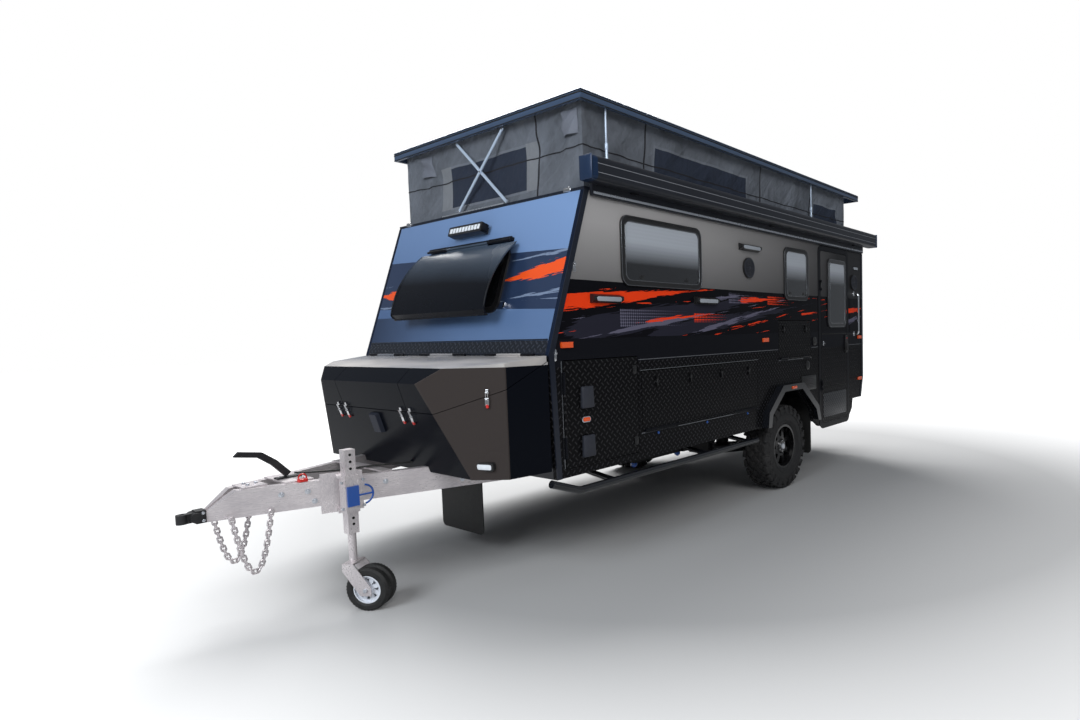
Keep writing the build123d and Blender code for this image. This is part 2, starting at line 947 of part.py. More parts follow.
def make_rails():
    half = beam_width / 2
    rail = hollow_box(rail_rear, cross_front - beam_width, rail_y - half, rail_y + half, "x")
    return both_sides(rail)


def make_crossmembers():
    half = beam_width / 2
    edge = rail_y + half
    tubes = [hollow_box(cross_front - beam_width, cross_front, -edge, edge, "y")]
    edge -= beam_width
    for x in cross_stations:
        tubes.append(hollow_box(x - half, x + half, -edge, edge, "y"))
    return tubes


def drawbar_line(x):
    """Y of the left drawbar beam's outer face."""
    return beam_tip_y + (beam_tip_x - x) * tan(radians(beam_angle))


def drawbar_envelope(high):
    """Space round the left drawbar beam, up to a height, where it passes through sheet metal."""
    across = beam_width / cos(radians(beam_angle)) + beam_clear
    plan = [
        (cross_front, drawbar_line(cross_front) + beam_clear),
        (beam_tip_x, drawbar_line(beam_tip_x) + beam_clear),
        (beam_tip_x, drawbar_line(beam_tip_x) - across),
        (cross_front, drawbar_line(cross_front) - across),
    ]
    return prism_z(plan, beam_low - over, high)


def make_drawbar_left():
    across = beam_width / cos(radians(beam_angle))
    tip = beam_tip_x + beam_nose_run
    outer_tip = drawbar_line(tip)
    plan = [
        (cross_front, drawbar_line(cross_front)),
        (tip, outer_tip),
        (tip, outer_tip - across),
        (cross_front, drawbar_line(cross_front) - across),
    ]
    body = prism_z(plan, beam_low, rail_high)
    t = beam_wall
    skin = t / cos(radians(beam_angle))
    hollow = [
        (cross_front - over, drawbar_line(cross_front - over) - skin),
        (beam_tip_x, drawbar_line(beam_tip_x) - skin),
        (beam_tip_x, drawbar_line(beam_tip_x) - across + skin),
        (cross_front - over, drawbar_line(cross_front - over) - across + skin),
    ]
    body -= prism_z(hollow, beam_low + t, rail_high - t)
    nose = [
        (beam_tip_x, rail_high),
        (tip + over, rail_high),
        (tip + over, rail_high - beam_nose_drop),
        (tip, rail_high - beam_nose_drop),
    ]
    body -= prism_y(nose, -half_width, half_width)
    body -= box(cross_front, tip + over, -half_width, nose_plate_half, beam_low - over, rail_high + over)
    return body


# Plates that tie the two beams, rear and front X, and the eyes that the safety chains hang on
tie_spans = [(4180.0, 4300.0), (3965.0, 4115.0), (3590.0, 3650.0)]
tie_thick = 8.0
lug_wire = 4.0
lug_head = 9.0


def make_ties():
    ties = []
    for x0, x1 in tie_spans:
        y = drawbar_line(x1) - tie_thick
        ties.append(box(x0, x1, -y, y, rail_high, rail_high + tie_thick))
    web_half = nose_plate_half - fit_gap
    x0, x1 = beam_tip_x - beam_nose_run, beam_tip_x + beam_nose_run
    ties.append(box(x0, x1, -web_half, web_half, beam_low, rail_high - beam_nose_drop))
    places = chain_places()
    share = (lug_wire + fit_gap) / link_pitch
    for (x, z), (next_x, next_z) in (places[:2], places[:-3:-1]):
        x, z = x + (next_x - x) * share, z + (next_z - z) * share
        start, end = drawbar_line(x - lug_wire) + fit_gap, chain_y + 2 * lug_wire
        lug = rod((x, start, z), (x, end, z), lug_wire) + rod((x, end, z), (x, end + lug_wire, z), lug_head)
        ties += both_sides(lug)
    return ties


# Hitch with its pivot block and its eye
hitch_pivot_x = 4505.0
hitch_z = 640.0
hitch_radius = 27.0
hitch_half = 34.0
hitch_neck = 20.0
hitch_eye_half = 25.0
hitch_bore = 11.0


def make_coupling():
    start, pivot_x, eye_x = beam_tip_x + beam_nose_run, hitch_pivot_x, coupling_tip - hitch_radius
    block = box(start, pivot_x, -hitch_half, hitch_half, hitch_z - hitch_half, hitch_z + hitch_half)
    end = hitch_half + hitch_radius / 2
    barrel = rod((pivot_x, -end, hitch_z), (pivot_x, end, hitch_z), hitch_radius)
    low, high = hitch_z - hitch_eye_half, hitch_z + hitch_eye_half
    neck = box(pivot_x, eye_x, -hitch_neck, hitch_neck, low, high)
    eye = rod((eye_x, 0, low), (eye_x, 0, high), hitch_radius)
    bore = rod((eye_x, 0, low - over), (eye_x, 0, high + over), hitch_bore)
    return block + barrel + neck + eye - bore


# Handbrake
brake_width = 28.0
brake_points = [(4030.0, 771.0), (4100.0, 850.0), (4170.0, 905.0), (4285.0, 925.0)]
brake_thick = 26.0
brake_plate = (3978.0, 4108.0)


def make_handbrake():
    half = brake_width / 2
    top = [(x, z + brake_thick) for x, z in brake_points]
    under = [(x + brake_thick, z) for x, z in reversed(brake_points)]
    lever = prism_y(top + under, -half, half)
    rear, front = brake_plate
    low = rail_high + tie_thick
    return lever + box(rear, front, -brake_width, brake_width, low, low + tie_thick)


# Safety chains: wire, inner length, inner width and pitch of a link, and the hanging curve
link_wire = 5.0
link_inner = 27.0
link_inner_width = 12.0
link_pitch = 27.3
link_corner_share = 0.6
chain_near = (4385.0, 625.0)
chain_far = (4195.0, 625.0)
chain_low = 305.0
chain_y = 150.0
chain_steps = 4000


def chain_link():
    """One link along X with its hole facing Z."""
    half_x = link_inner / 2 + link_wire
    half_y = link_inner_width / 2 + link_wire
    cut = half_y * link_corner_share
    points = [
        (half_x, -half_y + cut),
        (half_x, half_y - cut),
        (half_x - cut, half_y),
        (cut - half_x, half_y),
        (-half_x, half_y - cut),
        (-half_x, cut - half_y),
        (cut - half_x, -half_y),
        (half_x - cut, -half_y),
    ]
    path = Polyline(*[(x, y, 0) for x, y in points], close=True)
    plane = Plane(origin=path @ 0, z_dir=path % 0)
    return sweep(plane * RegularPolygon(link_wire, 6), path=path, transition=Transition.RIGHT)


def chain_places():
    """Centres and directions of the links, spaced along a parabola between the two anchors."""
    x0, z0 = chain_near
    x1, z1 = chain_far
    places = [chain_near]
    travelled = 0.0
    last = chain_near
    for i in range(1, chain_steps + 1):
        share = i / chain_steps
        x = x0 + (x1 - x0) * share
        z = z0 + (z1 - z0) * share - 4 * (z0 - chain_low) * share * (1 - share)
        travelled += ((x - last[0]) ** 2 + (z - last[1]) ** 2) ** 0.5
        last = (x, z)
        if travelled >= len(places) * link_pitch:
            places.append(last)
    return places


def make_chain():
    places = chain_places()
    links = []
    for i, ((x, z), (x2, z2)) in enumerate(zip(places, places[1:])):
        slope = degrees(atan2(z2 - z, x2 - x))
        turn = 90 * ((i + 1) % 2)
        middle = ((x + x2) / 2, chain_y, (z + z2) / 2)
        links.append(Pos(*middle) * Rot(0, -slope, 0) * Rot(turn, 0, 0) * chain_link())
    return links


# Jockey stand
post_x = 3860.0
post_y = 345.0
post_half = 30.0
post_low = 445.0
post_high = 930.0
stem_radius = 22.0
bracket_thick = 8.0
bracket_low = 560.0
bracket_high = 790.0
bracket_half = 110.0


def make_jockey_post():
    half = post_half
    body = box(post_x - half, post_x + half, post_y - half, post_y + half, post_low, post_high)
    body += rod((post_x, post_y, fork_crown_high + fit_gap), (post_x, post_y, post_low), stem_radius)
    face_y = drawbar_line(post_x)
    turn = Pos(post_x, face_y + fit_gap, 0) * Rot(0, 0, -beam_angle)
    body += turn * box(-bracket_half, bracket_half, 0, bracket_thick, bracket_low, bracket_high)
    low, high = bracket_low + bracket_thick, bracket_high - bracket_thick
    for z in (low, high - 2 * bracket_thick):
        reach = post_y - face_y
        body += turn * box(-half, half, bracket_thick, reach, z, z + 2 * bracket_thick)
    half += bracket_thick
    return body + box(post_x - half, post_x + half, post_y - half, post_y + half, low, high)


# Blue release handle of the stand
shield_half = 32.0
shield_low = 605.0
shield_high = 720.0
shield_thick = 12.0
loop_radius = 55.0
loop_wire = 5.5
loop_half_angle = 80.0


def make_jockey_handle():
    y0 = post_y + post_half + bracket_thick
    shield = box(post_x - shield_half, post_x + shield_half, y0, y0 + shield_thick, shield_low, shield_high)
    y, z = y0 + shield_thick / 2, (shield_low + shield_high) / 2
    centre_x = post_x - shield_half - loop_radius / 2
    stalk = rod((post_x, y, z), (centre_x - loop_radius, y, z), loop_wire)
    plane = Plane(origin=(centre_x, y, z), x_dir=(-1, 0, 0), z_dir=(0, 1, 0))
    arc = plane * CenterArc((0, 0), loop_radius, -loop_half_angle, 2 * loop_half_angle)
    start = Plane(origin=arc @ 0, z_dir=arc % 0)
    loop = sweep(start * Circle(loop_wire), path=arc)
    return shield + stalk + loop


# Jockey fork and its twin wheels
jockey_radius = 125.0
jockey_width = 50.0
jockey_gap = 12.0
jockey_rim = 80.0
jockey_trail = 100.0
jockey_yaw = 33.5
jockey_axle = 10.0
jockey_round = 12.0
jockey_holes = 8
jockey_hole_low = 30.0
jockey_hole_high = 60.0
jockey_hole_half = 11.0
fork_thick = 5.0
fork_clear = 3.0
fork_crown_low = 268.0
fork_crown_high = 280.0
fork_arm_half = 32.0


def jockey_frame():
    """Place of the fork: local X along the axle, local Y the way the fork trails."""
    return Pos(post_x, post_y, 0) * Rot(0, 0, jockey_yaw)


def fork_half():
    return jockey_width + jockey_gap / 2 + fork_clear


def make_jockey_fork():
    inside = fork_half()
    outside = inside + fork_thick
    crown_half = fork_arm_half
    crown = box(-outside, outside, -crown_half, crown_half, fork_crown_low, fork_crown_high)
    body = crown
    for side in (1, -1):
        x0, x1 = sorted((side * inside, side * outside))
        cheek = [
            (-crown_half, fork_crown_high),
            (crown_half, fork_crown_high),
            (jockey_trail + crown_half, jockey_radius + crown_half / 2),
            (jockey_trail + crown_half, jockey_radius - crown_half),
            (jockey_trail - crown_half, jockey_radius - crown_half),
            (-crown_half, fork_crown_low - crown_half),
        ]
        body += prism_x(cheek, x0, x1)
    axle = rod((-outside, jockey_trail, jockey_radius), (outside, jockey_trail, jockey_radius), jockey_axle)
    body += axle
    return jockey_frame() * body


def jockey_wheel_profiles():
    half, round_off = jockey_width / 2, jockey_round
    tyre = [
        (jockey_rim, -half + round_off / 2),
        (jockey_rim + round_off, -half),
        (jockey_radius - round_off, -half),
        (jockey_radius, -half + round_off),
        (jockey_radius, half - round_off),
        (jockey_radius - round_off, half),
        (jockey_rim + round_off, half),
        (jockey_rim, half - round_off / 2),
    ]
    hub = jockey_axle + pin_play
    rim = [
        (hub, -half),
        (2 * jockey_axle, -half),
        (2 * jockey_axle, -round_off / 2),
        (jockey_rim - round_off / 2, -round_off / 2),
        (jockey_rim - round_off / 2, -half + round_off / 2),
        (jockey_rim - fit_gap / 2, -half + round_off / 2),
        (jockey_rim - fit_gap / 2, half - round_off / 2),
        (jockey_rim - round_off / 2, half - round_off / 2),
        (jockey_rim - round_off / 2, round_off / 2),
        (2 * jockey_axle, round_off / 2),
        (2 * jockey_axle, half),
        (hub, half),
    ]
    return tyre, rim


def jockey_wheels(profile, holes):
    """The same wheel part at both places on the axle."""
    shift = (jockey_width + jockey_gap) / 2
    wheel = ring_y(profile)
    if holes:
        corners = [
            (jockey_hole_low, 0),
            (jockey_hole_high, jockey_hole_half),
            (jockey_hole_high, -jockey_hole_half),
        ]
        cutter = prism_y(corners, -over, over)
        for i in range(jockey_holes):
            wheel -= Rot(0, 360 / jockey_holes * i, 0) * cutter
    turned = Rot(0, 0, 90) * wheel
    frame = jockey_frame()
    return [
        frame * Pos(side * shift, jockey_trail, jockey_radius) * turned for side in (1, -1)
    ]


# Road wheel parts
tyre_shoulder = 34.0
rim_lip = 14.0
rim_flange = 12.0
rim_sheet = 7.0
rim_disc_inset = 62.0
rim_disc = 16.0
hub_radius = 72.0
hub_deep = 92.0
stub_radius = 30.0
spoke_count = 8
spoke_low = 97.0
spoke_inset = 28.0
spoke_wide_share = 0.62
spoke_narrow_share = 0.35
hub_taper_share = 0.8
tyre_crown_share = 1.2


def tyre_profile():
    """Half-section of a tyre centred on Y = 0, as (radius, y)."""
    half = tyre_width / 2
    s = tyre_shoulder
    crown = [
        (tyre_radius - s, -half + s / 5),
        (tyre_radius - s / 3, -half + s / 2),
        (tyre_radius, -half + s * tyre_crown_share),
        (tyre_radius, half - s * tyre_crown_share),
        (tyre_radius - s / 3, half - s / 2),
        (tyre_radius - s, half - s / 5),
    ]
    bulge = (tyre_radius + bead_radius) / 2
    return (
        [(bead_radius, -half + s)]
        + [(bead_radius + s, -half + s / 5), (bulge, -half)]
        + crown
        + [(bulge, half), (bead_radius + s, half - s / 5), (bead_radius, half - s)]
    )


def make_tyre():
    return ring_y(tyre_profile())


def make_rim():
    """Rim with its disc towards +Y, its hub bored for the stub axle."""
    half = tyre_width / 2
    s = tyre_shoulder
    outer = bead_radius - fit_gap
    face = half - rim_disc_inset
    flange = half - s + rim_flange
    barrel = ring_y(
        [
            (outer - rim_sheet, -half + s),
            (outer, -half + s),
            (outer, half - s),
            (outer + rim_lip / 2, flange - rim_flange / 3),
            (outer + rim_lip / 2, flange),
            (outer - rim_lip, flange),
            (outer - rim_lip, face),
            (outer - rim_sheet, face - rim_disc),
        ]
    )
    disc = ring_y(
        [
            (0, face - hub_deep),
            (hub_radius, face - hub_deep),
            (hub_radius, face - rim_disc),
            (outer - rim_sheet, face - 2 * rim_disc),
            (outer - rim_sheet, face - rim_disc),
            (hub_radius, face),
            (hub_radius * hub_taper_share, face + rim_disc),
            (0, face + rim_disc),
        ]
    )
    for i in range(spoke_count):
        angle = 360 / spoke_count * i
        low, high = spoke_low, outer - spoke_inset
        wide = high * sin(pi / spoke_count) * spoke_wide_share
        narrow = wide * spoke_narrow_share
        window = [(low, narrow), (high, wide), (high, -wide), (low, -narrow)]
        cutter = prism([(x, face - 4 * rim_disc, z) for x, z in window], (0, 6 * rim_disc, 0))
        disc -= Rot(0, angle, 0) * cutter
    rim = barrel + disc
    bore = rod((0, face - hub_deep - over, 0), (0, face - rim_disc, 0), stub_radius + pin_play)
    return rim - bore


def wheel_place(side):
    """Place of a road wheel whose disc faces outwards."""
    centre_y = tyre_outer_y - tyre_width / 2
    place = Pos(0, side * centre_y, tyre_radius)
    return place if side > 0 else place * Rot(0, 0, 180)


# Independent trailing arms
arm_pivot_x = 520.0
arm_pivot_z = 520.0
arm_pivot_radius = 38.0
arm_inner_y = 300.0
arm_outer_y = 570.0
arm_half = 35.0
drum_radius = 150.0
drum_deep = 55.0
spring_radius = 62.0
spring_x = 270.0
spring_y = 505.0


def make_suspension():
    centre_y = tyre_outer_y - tyre_width / 2
    hub_inner = centre_y + tyre_width / 2 - rim_disc_inset - hub_deep
    stub_end = hub_inner + hub_deep - rim_disc - hinge_gap
    drum_y = hub_inner - fit_gap
    arm = prism_z(
        [
            (arm_pivot_x, arm_inner_y),
            (arm_pivot_x, arm_outer_y),
            (arm_half, drum_y - drum_deep),
            (-arm_half, drum_y - drum_deep),
            (-2 * arm_half, drum_y - drum_deep - 2 * arm_half),
            (arm_pivot_x - 3 * arm_half, arm_inner_y),
        ],
        0,
        2 * arm_half,
    )
    body = Pos(0, 0, tyre_radius - arm_half) * arm
    start, end = arm_inner_y - arm_half, arm_outer_y - fit_gap
    body += rod((arm_pivot_x, start, arm_pivot_z), (arm_pivot_x, end, arm_pivot_z), arm_pivot_radius)
    x0, x1 = arm_pivot_x - arm_half, arm_pivot_x + arm_half
    body += box(x0, x1, arm_inner_y, arm_outer_y - arm_half, tyre_radius - arm_half, arm_pivot_z)
    body += box(x0, x1, start, arm_inner_y, arm_pivot_z, rail_high)
    body += rod((0, drum_y - drum_deep - arm_half, tyre_radius), (0, stub_end, tyre_radius), stub_radius)
    body += rod((0, drum_y - drum_deep, tyre_radius), (0, drum_y, tyre_radius), drum_radius)
    low = (spring_x, spring_y, tyre_radius + arm_half)
    body += rod(low, (spring_x, spring_y, floor_low), spring_radius)
    return both_sides(body)


# Wheel-arch flares: an outer lip that stands on the wall, and a face in front of the tyre
flare_sheet = 6.0
flare_lip = 10.0


def make_flares():
    outer, middle, inner = arch_outline(0), arch_outline(flare_lip), arch_outline(flare_band)
    face_y = half_width + flare_proud
    flare = prism_y(outer + list(reversed(middle)), half_width, face_y)
    flare += prism_y(middle + list(reversed(inner)), face_y - flare_sheet, face_y)
    return both_sides(flare)


# Rubber flaps behind the wheels and below the toolbox
flap_thick = 8.0
wheel_flap_low = 250.0
wheel_flap_high = 830.0
wheel_flap_lap = 18.0
wheel_flap_inner = tyre_inner_y - wheel_flap_lap
nose_flap_half = 250.0
nose_flap_low = 155.0
nose_flap_x = 2905.0
nose_flap_corner = 40.0


def flap(x, y0, y1, low, high):
    plane = Plane(origin=(x, (y0 + y1) / 2, (low + high) / 2), x_dir=(0, 1, 0), z_dir=(1, 0, 0))
    return extrude(plane * RectangleRounded(abs(y1 - y0), high - low, nose_flap_corner), flap_thick)


def make_flaps():
    outer = half_width - wall - fit_gap
    rear = flap(tub_rear + fit_gap, wheel_flap_inner, outer, wheel_flap_low, wheel_flap_high)
    nose = flap(nose_flap_x, -nose_flap_half, nose_flap_half, nose_flap_low, skirt_low)
    bar = box(
        nose_flap_x + flap_thick,
        nose_foot_x - wall - fit_gap,
        -nose_flap_half,
        nose_flap_half,
        skirt_low - nose_flap_corner,
        skirt_low + nose_flap_corner,
    )
    return both_sides(rear) + [nose + bar]


# Side rails below the skirts
slider_radius = 25.0
slider_bend = 160.0
slider_front = (3010.0, 645.0)
slider_drop = (2780.0, 560.0)
slider_rear = 586.0
slider_arm_radius = 20.0
slider_arm_x = [2450.0, 1350.0, 700.0]


def make_sliders():
    y = half_width
    front_x, front_z = slider_front
    drop_x, drop_z = slider_drop
    line = [(front_x, y, front_z), (drop_x, y, drop_z), (slider_rear, y, drop_z)]
    tube = pipe(line, [slider_bend], slider_radius)
    y_in = rail_y + beam_width / 2
    for x in slider_arm_x:
        start = (x, y_in - slider_radius, beam_low + slider_radius)
        arm = rod(start, (x, y - slider_radius / 2, drop_z), slider_arm_radius)
        rail_side = box(x - over - slider_radius, x + over + slider_radius, 0, y_in + fit_gap, 0, rail_high)
        tube += arm - rail_side
    return both_sides(tube)


# Stowed corner steadies
steady_table = [
    (2100.0, 1540.0, 940.0),
    (-1250.0, -1690.0, 690.0),
]
steady_half = 25.0
steady_low = 600.0
steady_foot = 48.0


def make_steadies():
    steadies = []
    for front, rear, y in steady_table:
        y0, y1, top = y - steady_half, y + steady_half, steady_low + 2 * steady_half
        steady = box(rear, front, y0, y1, steady_low, top)
        steady += box(front - 2 * steady_half, front, y0, y1, top, floor_low)
        y0, y1 = y - steady_foot, y + steady_foot
        steady += box(rear - steady_foot, rear, y0, y1, steady_low, steady_low + steady_half)
        steadies += both_sides(steady)
    return steadies


# Fresh-water tanks between the rails
tank_table = [(1850.0, 1000.0), (900.0, 650.0)]
tank_clear = 80.0
tank_half = rail_y - tank_clear
tank_low = 600.0
tank_round = 40.0


def make_tanks():
    tanks = []
    for front, rear in tank_table:
        tank = box(rear, front, -tank_half, tank_half, tank_low, floor_low)
        tanks.append(fillet(tank.edges().group_by(Axis.Z)[0], tank_round))
    return tanks


# Rear bumper with the spare-wheel post
bumper_front = -1880.0
bumper_deep = 60.0
bumper_low = 615.0
bumper_high = 690.0
bumper_inset = 150.0
bumper_half = half_width - bumper_inset
spare_z = 1130.0
spare_post_half = 60.0
spare_plate = 12.0
spare_clear = 25.0


def make_bumper():
    rear = bumper_front - bumper_deep
    bar = box(rear, bumper_front, -bumper_half, bumper_half, bumper_low, bumper_high)
    for side in (1, -1):
        y = side * rail_y
        bar += box(bumper_front, rail_rear, y - beam_width / 2, y + beam_width / 2, bumper_low, bumper_high)
    half = spare_post_half
    post = box(rear, rear_x - fit_gap, -half, half, bumper_high, spare_z + half)
    plate = rod((rear, 0, spare_z), (rear - spare_plate, 0, spare_z), 2 * half)
    return bar + post + plate


def spare_frame():
    x = bumper_front - bumper_deep - spare_plate - spare_clear - tyre_width / 2
    return Pos(x, 0, spare_z) * Rot(0, 0, 90)


def make_spare():
    half = tyre_width / 2
    hub = rod((0, -half - spare_clear, 0), (0, half - rim_disc_inset - hub_deep, 0), stub_radius)
    return make_rim() + hub


# Awning cassette along the left side
awning_front = 2700.0
awning_rear = -2040.0
awning_rail_deep = 26.0
awning_deep = 111.0
awning_lift = 18.0
awning_tall = 152.0
awning_inner = half_width + awning_rail_deep
awning_outer = awning_inner + awning_deep
awning_low = frame_high + awning_lift
awning_high = awning_low + awning_tall
awning_round = 30.0
awning_rail_tall = 72.0
awning_rail_low = awning_low - awning_rail_tall
awning_rail_front = 2600.0
awning_rail_rear = -1880.0


def make_awning():
    case = box(awning_rear, awning_front, awning_inner, awning_outer, awning_low, awning_high)
    long_edges = case.edges().filter_by(Axis.X).group_by(Axis.Y)[-1]
    case = fillet(long_edges, awning_round)
    rail = box(
        awning_rail_rear, awning_rail_front, half_width, awning_inner, awning_rail_low, awning_low + over
    )
    return case + rail


# Lamps, speakers, grab handle and markers on the left wall
speaker_table = [(685.0, 2104.0), (-1637.0, 2084.0)]
speaker_radius = 90.0
speaker_proud = 16.0
side_lamps = [(2490.0, 1785.0, 280.0), (1350.0, 1800.0, 300.0), (672.0, 2280.0, 325.0)]
side_lamp_high = 60.0
side_lamp_deep = 42.0
light_bar_half = 200.0
light_bar_low = 885.0
light_bar_high = 955.0
light_bar_proud = 80.0
light_bar_foot = 24.0
light_bar_corner = 8.0


def make_lamps():
    parts = []
    for x, z in speaker_table:
        parts.append(rod((x, half_width, z), (x, half_width + speaker_proud, z), speaker_radius))
    for x, z, length in side_lamps:
        low, high = z - side_lamp_high / 2, z + side_lamp_high / 2
        face = half_width + side_lamp_deep
        section = [
            (half_width, low),
            (face, low + side_lamp_high / 3),
            (face, high - side_lamp_high / 4),
            (half_width, high),
        ]
        parts.append(prism_x(section, x - length / 2, x + length / 2))
    low, high, step = light_bar_low, light_bar_high, light_bar_foot
    light = nose_slab(light_bar_half, low, high, -step, light_bar_proud, light_bar_corner)
    foot = nose_slab(step, low + step / 2, high - step / 2, 0, step, light_bar_corner / 2)
    for side in (1, -1):
        light += Pos(0, side * (light_bar_half - 2 * step), 0) * foot
    return parts + [light]


grab_x = -1640.0
grab_low = 1490.0
grab_high = 1955.0
grab_proud = 60.0
grab_radius = 13.0
grab_bend = 30.0
grab_rose = 28.0


def make_grab_handle():
    y0, y1 = half_width, half_width + grab_proud
    corners = [(y0, grab_low), (y1, grab_low), (y1, grab_high), (y0, grab_high)]
    bar = pipe([(grab_x, y, z) for y, z in corners], [grab_bend, grab_bend], grab_radius)
    for z in (grab_low, grab_high):
        bar += rod((grab_x, y0, z), (grab_x, y0 + grab_radius / 2, z), grab_rose)
    return bar


# Marker lenses on both side walls, and tail lamps on the rear wall
marker_table = [
    (2850.0, 1490.0),
    (410.0, 1465.0),
    (-1800.0, 1450.0),
    (-1800.0, 960.0),
]
marker_half = (48.0, 18.0)
marker_proud = 14.0
tail_inset = 40.0
tail_wide = 130.0
tail_low = 1250.0
tail_high = 1600.0
tail_proud = 20.0


def make_markers():
    parts = []
    half_x, half_z = marker_half
    face = half_width + marker_proud
    for x, z in marker_table:
        parts += both_sides(box(x - half_x, x + half_x, half_width, face, z - half_z, z + half_z))
    y1 = half_width - tail_inset
    lamp = box(rear_x - tail_proud, rear_x, y1 - tail_wide, y1, tail_low, tail_high)
    parts += both_sides(lamp)
    return parts


# Corner mouldings of the body, which stop below the awning's rail
mould_reach = 40.0
mould_proud = 6.0
awning_rail_gap = 36.0


def make_mouldings():
    """Edge strips along the front slope and the rear of both sides."""
    w, top = mould_reach, body_top - awning_rail_gap
    slope = [
        (nose_kink_x, nose_kink_z),
        (nose_top_x, body_top),
        (nose_top_x - w, body_top),
        (nose_kink_x - w, nose_kink_z),
        (nose_foot_x - w, skirt_low),
        (nose_foot_x, skirt_low),
    ]
    back = [
        (rear_x, top),
        (rear_x, rear_cut_z),
        (rear_cut_x, rear_low),
        (rear_cut_x + w, rear_low),
        (rear_x + w, rear_cut_z),
        (rear_x + w, top),
    ]
    strips = [prism_y(outline, half_width, half_width + mould_proud) for outline in (slope, back)]
    return [shape for strip in strips for shape in both_sides(strip)]


# Side poles between the body and the roof
pole_x = [2410.0, -610.0]
pole_step = 20.0
pole_y = half_width - pole_step
pole_radius = 9.0


def make_poles():
    poles = []
    for x in pole_x:
        pole = rod((x, pole_y, frame_high), (x, pole_y, roof_ceiling - fit_gap), pole_radius)
        poles += both_sides(pole)
    return poles


# Toolbox latches, in pairs beside the lid joints and one on each chamfer
clasp_body = (24.0, 46.0, 14.0)
clasp_offset = 52.0
clasp_drop = 12.0
clasp_chamfer_share = 0.2
chamfer_clasp_z = 1215.0


def clasp(plane):
    """Latch body below a joint."""
    wide, tall, deep = clasp_body
    return extrude(plane * (Pos(0, -clasp_drop - tall / 2) * Rectangle(wide, tall)), deep)


def make_clasps():
    parts = []
    for joint in (lid_joint_y, -lid_joint_y):
        for offset in (clasp_offset, -clasp_offset):
            parts.append(clasp(front_plane(joint + offset)))
    run_x, run_y = box_front_high - box_chamfer_x, box_chamfer_y - box_corner_y
    size = (run_x**2 + run_y**2) ** 0.5
    for side in (1, -1):
        x = box_chamfer_x + run_x * clasp_chamfer_share
        y = side * (box_chamfer_y - run_y * clasp_chamfer_share)
        out = (run_y / size, side * run_x / size, 0)
        along = Vector(0, 0, 1).cross(Vector(*out))
        plane = Plane(origin=(x, y, chamfer_clasp_z), x_dir=along, z_dir=out)
        parts.append(clasp(plane))
    return parts


def export_parts(parts):
    """Write each named part, moved so that the origin is below the middle of the length."""
    spare_reach = spare_frame().position.X - tyre_width / 2
    shift = Pos(-(coupling_tip + spare_reach) / 2, 0, 0)
    os.makedirs("parts", exist_ok=True)
    for name, shapes in parts.items():
        solids = shapes if isinstance(shapes, list) else [shapes]
        moved = [shift * solid for solid in solids]
        flat = [s for shape in moved for s in shape.solids()]
        whole = flat[0] if len(flat) == 1 else Compound(children=flat)
        export_step(whole, f"parts/{name}.step")


